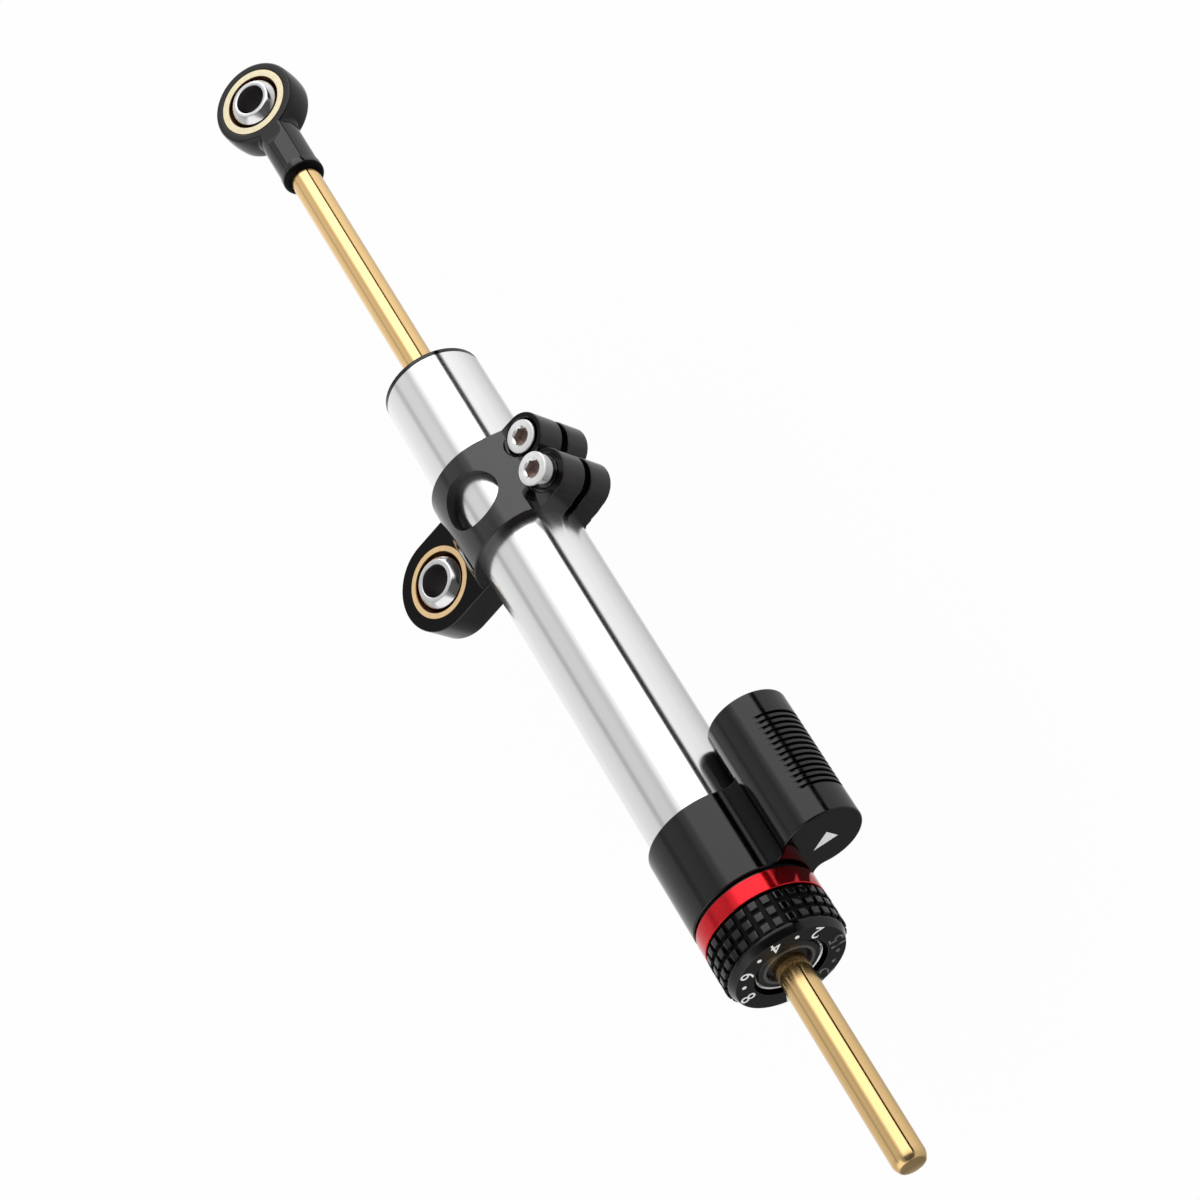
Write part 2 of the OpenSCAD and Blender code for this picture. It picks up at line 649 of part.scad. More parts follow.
module lower_rod_seal() color([0.20, 0.20, 0.22]) {
  rod_seal(meter_x0 + 1);
}

module lower_wiper() color([0.07, 0.07, 0.07]) {
  turned([[rod_r + run_gap, spigot_x1 - 0.6], [rod_r + 0.5, spigot_x1 - 0.6],
    [wiper_r - seat_gap, spigot_x1 - 1.2], [wiper_r - seat_gap, spigot_x1 - 2.9],
    [rod_r + run_gap, spigot_x1 - 2.9]]);
}

// Turns a profile of [radius, x] points about the reservoir axis.
module reservoir_turned(profile) {
  translate([0, reservoir_y, 0]) rotate([0, 90, 0]) rotate_extrude() polygon(profile);
}

// Round section ring about the reservoir axis.
module reservoir_ring(x, outer_r, r) {
  translate([x, reservoir_y, 0]) rotate([0, 90, 0]) rotate_extrude()
    translate([outer_r - r, 0]) circle(r = r, $fn = 32);
}

module reservoir_plug() color([0.13, 0.13, 0.14]) {
  difference() {
    reservoir_turned([[0, plug_x0], [reservoir_bore_r - 0.4, plug_x0],
      [reservoir_bore_r - seat_gap, plug_x0 + 0.4], [reservoir_bore_r - seat_gap, plug_x0 + 2],
      [reservoir_bore_r - 1.3, plug_x0 + 2], [reservoir_bore_r - 1.3, plug_x0 + 3.6],
      [reservoir_bore_r - seat_gap, plug_x0 + 3.6], [reservoir_bore_r - seat_gap, plug_x1],
      [0, plug_x1]]);
    translate([plug_x0 - 1, reservoir_y, 0]) rotate([0, 90, 0]) hex_bar(5, 4);
  }
}

module reservoir_plug_oring() color([0.05, 0.05, 0.05]) {
  reservoir_ring(plug_x0 + 2.8, reservoir_bore_r - seat_gap, 0.62);
}

module reservoir_piston() color([0.60, 0.61, 0.63]) {
  reservoir_turned([[0, float_x0 + 1.5], [5.6, float_x0 + 1.5], [5.6, float_x0],
    [float_r - 0.3, float_x0], [float_r, float_x0 + 0.3], [float_r, float_x0 + 2.4],
    [float_r - 1.3, float_x0 + 2.4], [float_r - 1.3, float_x0 + 4], [float_r, float_x0 + 4],
    [float_r, float_x1 - 0.3], [float_r - 0.3, float_x1], [0, float_x1]]);
}

module reservoir_piston_oring() color([0.05, 0.05, 0.05]) {
  reservoir_ring(float_x0 + 3.2, float_r, 0.62);
}

module reservoir_spring() color([0.55, 0.56, 0.58]) {
  translate([plug_x1, reservoir_y, 0]) rotate([0, 90, 0]) coil(4.8, 0.45, 7.5, 4);
}

module red_ring() color([0.72, 0.06, 0.05]) {
  difference() {
    turned([[neck_or + free_gap, step_x1 + 3.1], [neck_or + free_gap, ring_x1],
      [valve_r - 0.3, ring_x1], [valve_r, ring_x1 - 0.3], [valve_r, step_x1 + 0.3],
      [valve_r - 0.3, step_x1], [neck_or + run_gap + 1.35 + seat_gap, step_x1],
      [neck_or + run_gap + 1.35 + seat_gap, step_x1 + 3.1]]);
    off_bar(step_x1 + 0.6, ring_x1 + 1, detent_ball_r + run_gap, detent_r, 90);
  }
}

module detent_ball() color([0.80, 0.81, 0.83]) {
  translate([ring_x1 + 0.15 - detent_ball_r, axis_offset, detent_r]) sphere(r = detent_ball_r);
}

module detent_spring() color([0.55, 0.56, 0.58]) {
  translate([step_x1 + 0.6, axis_offset, detent_r]) rotate([0, 90, 0])
    coil(0.85, 0.15, ring_len - 0.45 - 2 * detent_ball_r + 0.05, 2);
}

module adjuster_knob() color([0.07, 0.07, 0.08]) {
  difference() {
    turned([[spigot_r + run_gap, sleeve_x1 + 0.2], [neck_or, sleeve_x1 + 0.2],
      [neck_or, step_x1 + 0.9], [neck_or - 1, step_x1 + 0.9], [neck_or - 1, step_x1 + 2.5],
      [neck_or, step_x1 + 2.5], [neck_or, knob_x0], [knob_r - 0.4, knob_x0],
      [knob_r, knob_x0 + 0.6], [knob_r, knob_x1 - knob_chamfer],
      [knob_r - knob_chamfer, knob_x1], [recess_r, knob_x1], [recess_r, shelf_x],
      [spigot_r + run_gap, shelf_x]]);
    for (x = [knob_x0 + 2.5, knob_x0 + 5.55])
      turned([[knob_r - pad_depth, x], [knob_r + 1, x], [knob_r + 1, x + 1.15],
        [knob_r - pad_depth, x + 1.15]]);
    for (k = [0 : pad_count - 1]) translate([knob_x0 + 0.6, axis_offset, 0])
      rotate([k * 360 / pad_count, 0, 0]) translate([0, knob_r - pad_depth, -pad_gap / 2])
      cube([8, 3, pad_gap]);
    for (k = [0 : click_count - 1]) translate([knob_x0, axis_offset, 0])
      rotate([k * 360 / click_count, 0, 0]) translate([-0.7, 0, detent_r])
      sphere(r = detent_ball_r, $fn = 48);
    off_bar(sleeve_x1 - 1, sleeve_x1 + 3.2, pin_r + seat_gap, neck_or - 1.4, 12);
  }
}

module knob_oring() color([0.05, 0.05, 0.05]) {
  oring(step_x1 + 1.7, neck_or - seat_gap, 0.47);
}

// Open clip with two eyes that holds the knob on its spigot.
module knob_circlip() color([0.85, 0.86, 0.88]) {
  difference() {
    union() {
      bar(shelf_x + 0.1, shelf_x + 1, spigot_r + 0.7);
      for (side = [-16, 16])
        off_bar(shelf_x + 0.1, shelf_x + 1, 1, spigot_r + 0.2, eyes_angle + side);
    }
    bar(shelf_x, shelf_x + 2, spigot_r - 0.65);
    translate([shelf_x, axis_offset, 0]) rotate([eyes_angle, 0, 0])
      translate([0, 2, -1.1]) cube([2, spigot_r, 2.2]);
    for (side = [-16, 16])
      off_bar(shelf_x, shelf_x + 2, 0.45, spigot_r + 0.3, eyes_angle + side);
  }
}

module metering_sleeve() color([0.70, 0.56, 0.30]) {
  difference() {
    turned([[spigot_r + run_gap, sleeve_x0], [sleeve_r, sleeve_x0], [sleeve_r, sleeve_x1],
      [spigot_r + run_gap, sleeve_x1]]);
    for (k = [0 : click_count - 1])
      off_bar(sleeve_x0 - 1, sleeve_x1 + 1, 0.25 + 0.5 * k / click_count, meter_r,
        k * 360 / click_count);
    off_bar(sleeve_x0 + 0.8, sleeve_x1 + 1, pin_r + seat_gap, neck_or - 1.4, 12);
  }
}

module drive_pin() color([0.75, 0.76, 0.78]) {
  off_bar(sleeve_x0 + 0.9, sleeve_x1 + 3.1, pin_r, neck_or - 1.4, 12);
}

rod();
piston();
piston_band();
piston_clips();
rod_end_body();
rod_end_race();
rod_end_liner();
rod_end_ball();
outer_tube();
inner_cylinder();
upper_gland();
upper_bush();
upper_rod_seal();
upper_wiper();
upper_oring();
clamp_body();
clamp_race();
clamp_liner();
clamp_ball();
clamp_screws();
valve_body();
valve_oring();
lower_gland();
lower_bush();
lower_rod_seal();
lower_wiper();
reservoir_plug();
reservoir_plug_oring();
reservoir_piston();
reservoir_piston_oring();
reservoir_spring();
red_ring();
detent_ball();
detent_spring();
adjuster_knob();
knob_oring();
knob_circlip();
metering_sleeve();
drive_pin();
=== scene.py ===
import json
from math import acos, asin, atan2, cos, degrees, hypot, pi, radians, sin, sqrt

import bmesh
import bpy
from mathutils import Matrix, Vector


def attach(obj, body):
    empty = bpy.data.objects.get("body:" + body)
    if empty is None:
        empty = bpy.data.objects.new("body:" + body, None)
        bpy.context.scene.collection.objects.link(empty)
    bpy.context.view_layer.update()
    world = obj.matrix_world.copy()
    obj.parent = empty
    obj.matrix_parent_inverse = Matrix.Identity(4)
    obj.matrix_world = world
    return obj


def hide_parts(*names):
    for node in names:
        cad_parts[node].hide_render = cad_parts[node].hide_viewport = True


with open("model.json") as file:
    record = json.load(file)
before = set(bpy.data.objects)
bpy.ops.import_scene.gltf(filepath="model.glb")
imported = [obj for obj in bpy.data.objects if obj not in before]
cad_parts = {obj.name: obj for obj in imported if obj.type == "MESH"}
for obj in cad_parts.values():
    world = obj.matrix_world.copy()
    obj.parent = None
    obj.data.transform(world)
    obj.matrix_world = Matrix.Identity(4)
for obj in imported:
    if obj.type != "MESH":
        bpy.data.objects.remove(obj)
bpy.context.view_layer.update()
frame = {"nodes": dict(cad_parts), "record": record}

mm = 0.001
scene = bpy.context.scene

# The damper axis runs along X, beside the clamp bearing at the origin.
axisY = 24.0
onAxis = Matrix.Translation((0, axisY, 0)) @ Matrix.Rotation(radians(90), 4, "Y")


# ---- materials

def nodeMaterial(name, color, metallic=0.0, roughness=0.3, ior=1.5):
    material = bpy.data.materials.new(name)
    material.use_nodes = True
    shader = material.node_tree.nodes["Principled BSDF"]
    shader.inputs["Base Color"].default_value = (*color, 1)
    shader.inputs["Metallic"].default_value = metallic
    shader.inputs["Roughness"].default_value = roughness
    shader.inputs["IOR"].default_value = ior
    return material, material.node_tree, shader


def grain(tree, shader, scale, stretch=(1, 1, 1), detail=3.0, rough=None, bump=0.0,
          distance=0.00002, tint=None):
    # noise in object space that varies the roughness, the colour and the surface
    nodes, links = tree.nodes, tree.links
    place = nodes.new("ShaderNodeTexCoord")
    mapping = nodes.new("ShaderNodeMapping")
    mapping.inputs["Scale"].default_value = stretch
    noise = nodes.new("ShaderNodeTexNoise")
    noise.inputs["Scale"].default_value = scale
    noise.inputs["Detail"].default_value = detail
    links.new(place.outputs["Object"], mapping.inputs["Vector"])
    links.new(mapping.outputs["Vector"], noise.inputs["Vector"])
    if rough:
        spread = nodes.new("ShaderNodeMapRange")
        spread.inputs["From Min"].default_value = 0.3
        spread.inputs["From Max"].default_value = 0.7
        spread.inputs["To Min"].default_value = rough[0]
        spread.inputs["To Max"].default_value = rough[1]
        links.new(noise.outputs["Fac"], spread.inputs["Value"])
        links.new(spread.outputs["Result"], shader.inputs["Roughness"])
    if tint:
        ramp = nodes.new("ShaderNodeValToRGB")
        ramp.color_ramp.elements[0].position = 0.3
        ramp.color_ramp.elements[1].position = 0.7
        ramp.color_ramp.elements[0].color = (*tint[0], 1)
        ramp.color_ramp.elements[1].color = (*tint[1], 1)
        links.new(noise.outputs["Fac"], ramp.inputs["Fac"])
        links.new(ramp.outputs["Color"], shader.inputs["Base Color"])
    if bump:
        surface = nodes.new("ShaderNodeBump")
        surface.inputs["Strength"].default_value = bump
        surface.inputs["Distance"].default_value = distance
        links.new(noise.outputs["Fac"], surface.inputs["Height"])
        links.new(surface.outputs["Normal"], shader.inputs["Normal"])
    return noise


def anodised(name, color, rough, specular=0.5):
    material, tree, shader = nodeMaterial(name, color, roughness=rough[0])
    shader.inputs["Specular IOR Level"].default_value = specular
    dark = tuple(c * 0.8 for c in color)
    grain(tree, shader, 900, rough=rough, bump=0.05, distance=0.000004, tint=(dark, color))
    return material


def drawnMetal(name, color, rough, alongRod=0.02):
    # fine drawing lines that run along the rod, and reflections drawn out along it
    material, tree, shader = nodeMaterial(name, color, metallic=1.0)
    dark = tuple(c * 0.96 for c in color)
    grain(tree, shader, 5200, stretch=(alongRod, 1, 1), rough=rough, tint=(dark, color))
    shader.inputs["Anisotropic"].default_value = 1.0
    rodWay = tree.nodes.new("ShaderNodeCombineXYZ")
    rodWay.inputs["X"].default_value = 1
    tree.links.new(rodWay.outputs["Vector"], shader.inputs["Tangent"])
    return material


def turnedMetal(name, color, rough, metallic=1.0):
    material, tree, shader = nodeMaterial(name, color, metallic=metallic)
    dark = tuple(c * 0.9 for c in color)
    grain(tree, shader, 700, rough=rough, bump=0.04, distance=0.000004, tint=(dark, color))
    return material


print("materials")
blackAnodised = anodised("blackAnodised", (0.0008, 0.0008, 0.0009), (0.09, 0.15))
blackGloss = anodised("blackGloss", (0.0007, 0.0007, 0.0008), (0.05, 0.1))
# painted shade: a less glossy copy of the black finish for flat faces that face up
blackFlatPaintedShade = anodised("blackFlatPaintedShade", (0.0006, 0.0006, 0.0006), (0.2, 0.32), specular=0.14)
# painted shade: a matt, less glossy copy of the black finish for the knob's end face
blackDialPaintedShade = anodised("blackDialPaintedShade", (0.013, 0.013, 0.0135), (0.4, 0.5), specular=0.12)
# painted shade: a matt black for grooves, hollows and faces that lie in shade
blackPaintedShade = anodised("blackPaintedShade", (0.0006, 0.0006, 0.0006), (0.35, 0.5), specular=0.1)
blackShade = anodised("blackShade", (0.0115, 0.0115, 0.012), (0.5, 0.6), specular=0.06)
# painted light: a lighter, more diffuse copy of the black finish for the window's wall
blackWallPaintedLight = anodised("blackWallPaintedLight", (0.013, 0.012, 0.011), (0.35, 0.5), specular=0.25)
satinTube = drawnMetal("satinTube", (0.93, 0.93, 0.935), (0.12, 0.15))
goldCoat = drawnMetal("goldCoat", (0.93, 0.63, 0.29), (0.12, 0.135))
paleBrass = turnedMetal("paleBrass", (0.93, 0.66, 0.34), (0.16, 0.26), metallic=0.4)
creamBrass = turnedMetal("creamBrass", (0.98, 0.88, 0.60), (0.16, 0.26), metallic=0.25)
# painted shade: a dark brown copy of the brass for the race's edges, lip and bore
brassPaintedShade = turnedMetal("brassPaintedShade", (0.20, 0.08, 0.03), (0.25, 0.4))
bronze = turnedMetal("bronze", (0.60, 0.40, 0.18), (0.25, 0.4))
polishedSteel = turnedMetal("polishedSteel", (0.80, 0.80, 0.81), (0.08, 0.14))
brightZinc = turnedMetal("brightZinc", (0.93, 0.93, 0.93), (0.1, 0.18), metallic=0.55)
# painted shade: the ball's bore is dark
ballBorePaintedShade = turnedMetal("ballBorePaintedShade", (0.05, 0.038, 0.04), (0.4, 0.55), metallic=0.3)
# painted shade: the hex socket's walls are a dark brownish steel
socketPaintedShade = turnedMetal("socketPaintedShade", (0.46, 0.37, 0.34), (0.15, 0.3), metallic=0.8)
springSteel = turnedMetal("springSteel", (0.86, 0.86, 0.87), (0.12, 0.22))
plainAluminium = turnedMetal("plainAluminium", (0.78, 0.78, 0.80), (0.2, 0.34))

redAnodised, redTree, redShader = nodeMaterial("redAnodised", (0.76, 0.004, 0.014), metallic=1.0)
redShader.inputs["Coat Weight"].default_value = 0.45
redShader.inputs["Coat Roughness"].default_value = 0.06
grain(redTree, redShader, 800, rough=(0.12, 0.2), tint=((0.68, 0.003, 0.011), (0.78, 0.005, 0.016)))

blackReservoir = anodised("blackReservoir", (0.0007, 0.0007, 0.0008), (0.1, 0.16))

# black with a random brown mottle
mottledBlack, mottledTree, mottledShader = nodeMaterial("mottledBlack", (0.001, 0.001, 0.001), ior=1.62)
grain(mottledTree, mottledShader, 160, detail=9.0, rough=(0.06, 0.12), bump=0.03, distance=0.00001,
      tint=((0.0008, 0.0008, 0.0009), (0.009, 0.0055, 0.0055)))

brownLiner, linerTree, linerShader = nodeMaterial("brownLiner", (0.09, 0.03, 0.012), roughness=0.6)
grain(linerTree, linerShader, 2600, rough=(0.5, 0.7), bump=0.3, distance=0.00003,
      tint=((0.05, 0.016, 0.006), (0.11, 0.04, 0.016)))

blackRubber, rubberTree, rubberShader = nodeMaterial("blackRubber", (0.012, 0.012, 0.012))
grain(rubberTree, rubberShader, 1800, rough=(0.45, 0.65), bump=0.15, distance=0.00002,
      tint=((0.009, 0.009, 0.009), (0.016, 0.016, 0.016)))

dialPaint, paintTree, paintShader = nodeMaterial("dialPaint", (0.88, 0.88, 0.88))
grain(paintTree, paintShader, 1500, rough=(0.35, 0.55), tint=((0.8, 0.8, 0.8), (0.9, 0.9, 0.9)))

# a dim grey paint for some of the dial marks
dimPaint, dimTree, dimShader = nodeMaterial("dimPaint", (0.1, 0.1, 0.1))
grain(dimTree, dimShader, 900, rough=(0.4, 0.6), tint=((0.01, 0.01, 0.01), (0.22, 0.22, 0.22)))

# painted reflection: the lobes' top reflects strongly beside the band and weakly beyond the screws,
# its specular level set by Y
blackLobePaintedSheen, lobeTree, lobeShader = nodeMaterial("blackLobePaintedSheen", (0.002, 0.0015, 0.0015), ior=1.62)
grain(lobeTree, lobeShader, 160, detail=9.0, rough=(0.1, 0.2), tint=((0.0008, 0.0008, 0.0009),
                                                                   (0.006, 0.004, 0.004)))
lobePlace = lobeTree.nodes.new("ShaderNodeSeparateXYZ")
lobeShare = lobeTree.nodes.new("ShaderNodeMapRange")
lobeShare.inputs["From Min"].default_value = 38.2 * mm
lobeShare.inputs["From Max"].default_value = 40.2 * mm
lobeShare.inputs["To Min"].default_value = 0.6
lobeShare.inputs["To Max"].default_value = 0.12
lobeTree.links.new(lobeTree.nodes.new("ShaderNodeTexCoord").outputs["Object"],
                   lobePlace.inputs["Vector"])
lobeTree.links.new(lobePlace.outputs["Y"], lobeShare.inputs["Value"])
lobeTree.links.new(lobeShare.outputs["Result"], lobeShader.inputs["Specular IOR Level"])

# the gland's nose is grey round the rod and black further out
noseBlack, noseTree, noseShader = nodeMaterial("noseBlack", (0.03, 0.03, 0.031), roughness=0.35)
noseNodes, noseLinks = noseTree.nodes, noseTree.links
noseAxis = noseNodes.new("ShaderNodeMapping")
noseAxis.inputs["Location"].default_value = (0, -axisY * mm, 0)
noseAxis.inputs["Scale"].default_value = (0, 1, 1)
noseReach = noseNodes.new("ShaderNodeVectorMath")
noseReach.operation = "LENGTH"
noseShare = noseNodes.new("ShaderNodeMapRange")
noseShare.inputs["From Min"].default_value = 6.2 * mm
noseShare.inputs["From Max"].default_value = 6.5 * mm
noseColor = noseNodes.new("ShaderNodeValToRGB")
noseColor.color_ramp.elements[0].color = (0.075, 0.072, 0.07, 1)
noseColor.color_ramp.elements[1].color = (0.002, 0.002, 0.002, 1)
noseLinks.new(noseNodes.new("ShaderNodeTexCoord").outputs["Object"], noseAxis.inputs["Vector"])
noseLinks.new(noseAxis.outputs["Vector"], noseReach.inputs[0])
noseLinks.new(noseReach.outputs["Value"], noseShare.inputs["Value"])
noseLinks.new(noseShare.outputs["Result"], noseColor.inputs["Fac"])
noseLinks.new(noseColor.outputs["Color"], noseShader.inputs["Base Color"])

slotMaterials = {
    "gold_rod": goldCoat, "silver_tube": satinTube, "plain_aluminium": plainAluminium,
    "black_anodised": blackAnodised, "black_gloss": blackGloss, "red_anodised": redAnodised,
    "pale_brass": paleBrass, "bronze": bronze, "polished_steel": polishedSteel,
    "spring_steel": springSteel, "brown_liner": brownLiner, "black_rubber": blackRubber,
}
for entry in frame["record"]["subparts"]:
    node = frame["nodes"][entry["node"]]
    node.data.materials.clear()
    special = {"lower_gland": noseBlack}
    node.data.materials.append(special.get(entry["node"], slotMaterials[entry["material_slot"]]))


# ---- mesh helpers, all in millimetres until a piece is finished

def spun(profile, steps=160, closed=True):
    # turns [radius, height] points into a closed surface round the local Z axis
    bm = bmesh.new()
    points = [bm.verts.new((r, 0, z)) for r, z in profile]
    edges = [bm.edges.new(pair) for pair in zip(points, points[1:])]
    if closed:
        edges.append(bm.edges.new((points[-1], points[0])))
    bmesh.ops.spin(bm, geom=points + edges, cent=(0, 0, 0), axis=(0, 0, 1), dvec=(0, 0, 0),
                   angle=2 * pi, steps=steps, use_merge=True, use_duplicate=False)
    bmesh.ops.remove_doubles(bm, verts=bm.verts, dist=0.0005)
    bmesh.ops.recalc_face_normals(bm, faces=bm.faces)
    return bm


def arcPoints(radius, fromAngle, toAngle, steps, centre=(0, 0)):
    # profile points on an arc, angles from the radial direction toward the local Z axis
    return [(centre[0] + radius * cos(radians(a)), centre[1] + radius * sin(radians(a)))
            for a in (fromAngle + (toAngle - fromAngle) * k / steps for k in range(steps + 1))]


def roundEdges(bm, width, segments=3, sharper=30, where=None):
    bm.normal_update()
    chosen = [e for e in bm.edges if len(e.link_faces) == 2
              and degrees(e.calc_face_angle()) > sharper and (where is None or where(e))]
    bmesh.ops.bevel(bm, geom=chosen, offset=width, segments=segments, affect="EDGES",
                    profile=0.5, material=-1)


def convexOnly(edge):
    return edge.is_convex


def vertsOf(geometry):
    return [v for v in geometry if isinstance(v, bmesh.types.BMVert)]


def block(centre, size):
    # a box that cuts another piece
    bm = bmesh.new()
    bmesh.ops.create_cube(bm, size=1, matrix=Matrix.Translation(centre)
                          @ Matrix.Diagonal((*size, 1)))
    return bm


def outlined(start, moves, z0, z1):
    # draws an outline of lines and arcs in the local XY plane and extrudes it from z0 to z1
    bm = bmesh.new()
    tip = bm.verts.new((*start, z0))
    for move in moves:
        if move[0] == "line":
            end = bm.verts.new((*move[1], z0))
            bm.edges.new((tip, end))
            tip = end
        else:
            centre, sweep, steps = move[1:]
            made = bmesh.ops.spin(bm, geom=[tip], cent=(*centre, z0), axis=(0, 0, 1),
                                  dvec=(0, 0, 0), angle=radians(sweep), steps=steps,
                                  use_duplicate=False)
            tip = vertsOf(made["geom_last"])[0]
    bmesh.ops.remove_doubles(bm, verts=bm.verts, dist=0.001)
    face = bmesh.ops.contextual_create(bm, geom=bm.edges[:])["faces"]
    grown = bmesh.ops.extrude_face_region(bm, geom=face)["geom"]
    bmesh.ops.translate(bm, verts=vertsOf(grown), vec=(0, 0, z1 - z0))
    bmesh.ops.recalc_face_normals(bm, faces=bm.faces)
    return bm


def solid(bm, place=None):
    # a loose object in millimetres, used while pieces are being joined and cut
    if place is not None:
        bmesh.ops.transform(bm, matrix=place, verts=bm.verts)
    mesh = bpy.data.meshes.new("blank")
    bm.to_mesh(mesh)
    bm.free()
    thing = bpy.data.objects.new("blank", mesh)
    scene.collection.objects.link(thing)
    return thing


def realMesh(thing):
    # the mesh that an object's modifiers or its text make
    bpy.context.view_layer.update()
    graph = bpy.context.evaluated_depsgraph_get()
    return bpy.data.meshes.new_from_object(thing.evaluated_get(graph))


def combine(thing, others, how):
    # joins or cuts thing with each of the others, which are used up
    for other in others:
        cut = thing.modifiers.new(how.lower(), "BOOLEAN")
        cut.operation, cut.solver, cut.object = how, "EXACT", other
        mesh = realMesh(thing)
        thing.modifiers.clear()
        thing.data = mesh
        bpy.data.objects.remove(other)
    return thing


def asMesh(thing):
    bm = bmesh.new()
    bm.from_mesh(thing.data)
    bpy.data.objects.remove(thing)
    return bm


def finished(name, bm, material, body, replaced=(), place=None, sharper=32,
             others=()):
    # others holds pairs of a material and a test for the faces that it covers
    for number, (other, covers) in enumerate(others, 1):
        for face in bm.faces:
            if covers(face.calc_center_median(), face.normal):
                face.material_index = number
    if place is not None:
        bmesh.ops.transform(bm, matrix=place, verts=bm.verts)
    bmesh.ops.scale(bm, vec=(mm, mm, mm), verts=bm.verts)
    mesh = bpy.data.meshes.new(name)
    bm.to_mesh(mesh)
    bm.free()
    mesh.shade_smooth()
    mesh.set_sharp_from_angle(angle=radians(sharper))
    for finish in [material] + [other for other, covers in others]:
        mesh.materials.append(finish)
    piece = bpy.data.objects.new(name, mesh)
    scene.collection.objects.link(piece)
    weights = piece.modifiers.new("faceNormals", "WEIGHTED_NORMAL")
    weights.keep_sharp = True
    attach(piece, body)
    if replaced:
        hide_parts(*replaced)
    return piece


# ---- rod and rod end

print("rod")
rodSize = {"radius": 4.0, "from": -140.9, "to": 195.2, "leadIn": 1.9, "tipRadius": 3.2,
           "midRadius": 3.75, "midOn": 0.9}
tipStart = rodSize["to"] - rodSize["leadIn"]
bm = spun([(0, rodSize["from"]), (rodSize["radius"], rodSize["from"]),
           (rodSize["radius"], tipStart), (rodSize["midRadius"], tipStart + rodSize["midOn"]),
           (rodSize["tipRadius"], rodSize["to"]), (0, rodSize["to"])], steps=128, closed=False)
roundEdges(bm, 0.3, sharper=12)
finished("goldRod", bm, goldCoat, "rod_unit", ["rod"], onAxis)

bearing = {"ballRadius": 7.94, "ballHalfWidth": 6.0, "bore": 4.0, "raceHalfWidth": 4.5,
           "raceLip": 7.5, "raceBore": 8.65, "linerHalf": 2.7}


def bearingBall(name, body, node, place):
    flat = sqrt(bearing["ballRadius"] ** 2 - bearing["ballHalfWidth"] ** 2)
    top = degrees(acos(flat / bearing["ballRadius"]))
    bm = spun([(bearing["bore"], -5.8), (bearing["bore"], 5.8), (bearing["bore"] + 0.2, 6.0)]
              + arcPoints(bearing["ballRadius"], top, -top, 40)
              + [(bearing["bore"] + 0.2, -6.0)], steps=128)
    roundEdges(bm, 0.12, 2, sharper=20)
    # the bore's walls get the painted shade
    return finished(name, bm, polishedSteel, body, [node], place,
                    others=[(ballBorePaintedShade, lambda c, n: hypot(c.x, c.y) < bearing["bore"] + 0.1)])


def bearingRace(name, body, node, place, outer, brass):
    half = bearing["raceHalfWidth"]
    lip = degrees(acos(bearing["raceLip"] / bearing["raceBore"]))
    lipFace = bearing["raceLip"] + 0.16
    bm = spun([(outer, -half + 0.01), (outer, half - 0.01), (lipFace, half - 0.01)]
              + arcPoints(bearing["raceBore"], lip, -lip, 24) + [(lipFace, -half + 0.01)],
              steps=128)
    roundEdges(bm, 0.16, 2, sharper=40, where=lambda e: hypot(e.verts[0].co.x, e.verts[0].co.y) > 9)
    # painted shade on all but the race's flat end faces
    return finished(name, bm, brass, body, [node], place,
                    others=[(brassPaintedShade, lambda c, n: hypot(c.x, c.y) > outer - 0.18
                             or hypot(c.x, c.y) < bearing["raceLip"] + 0.1
                             or abs(c.z) < half - 0.05)])


def bearingLiner(name, body, node, place):
    # sits deep between ball and race, so that the ball shows up to the race's lip
    half = bearing["linerHalf"]
    inner, outer = bearing["ballRadius"] + 0.02, bearing["raceBore"] - 0.02
    low, high = degrees(asin(half / inner)), degrees(asin(half / outer))
    bm = spun(arcPoints(inner, -low, low, 16) + arcPoints(outer, high, -high, 16), steps=128)
    return finished(name, bm, brownLiner, body, [node], place)


print("rod end")
rodEnd = {"eyeX": -156.2, "turn": -13.5, "eyeRadius": 12.1, "faceRadius": 11.45, "bore": 9.6,
          "neck": 5.4, "collar": 5.65, "flat": 5.05, "flatAt": 61, "faceTo": 13.7,
          "faceFillet": 5.0, "holeFrom": -143, "rootFillet": 3.0, "collarFrom": -130.4,
          "collarEnd": -126.9, "collarRound": 1.5}
atEye = (Matrix.Translation((rodEnd["eyeX"], axisY, 0))
         @ Matrix.Rotation(radians(rodEnd["turn"]), 4, "X"))
side, neckRadius = rodEnd["eyeRadius"], rodEnd["neck"]
bm = spun([(rodEnd["bore"], -4.5), (rodEnd["bore"], 4.5), (rodEnd["faceRadius"], 4.5),
           (side - 0.28, 3.7), (side - 0.07, 1.9), (side, 0),
           (side - 0.07, -1.9), (side - 0.28, -3.7), (rodEnd["faceRadius"], -4.5)], steps=160)
roundEdges(bm, 0.3, 3, sharper=25)
eye = solid(bm, atEye)

# the root blends the eye's side into the neck with two hollow curves
hollow = rodEnd["rootFillet"]
across = neckRadius - 0.15 + hollow
along = sqrt((side - 0.1 + hollow) ** 2 - across ** 2)
shrink = 1 - hollow / (side - 0.1 + hollow)
turnRoot = degrees(atan2(along, across))
rootStart = (along * shrink, across * shrink)
bm = outlined(rootStart, [("arc", (along, across), turnRoot, 14), ("line", (16.5, across - hollow)),
                          ("line", (16.5, hollow - across)), ("line", (along, hollow - across)),
                          ("arc", (along, -across), turnRoot, 14), ("line", rootStart)], -4.1, 4.1)
root = solid(bm, atEye)
bm = spun([(0, 5), (14, 5)] + arcPoints(hollow, 180 + turnRoot, 180, 14, (across, along))
          + [(across - hollow, 16.5), (0, 16.5)], steps=128, closed=False)
flare = solid(bm, Matrix.Translation((rodEnd["eyeX"], 0, 0)) @ onAxis)
combine(root, [flare], "INTERSECT")

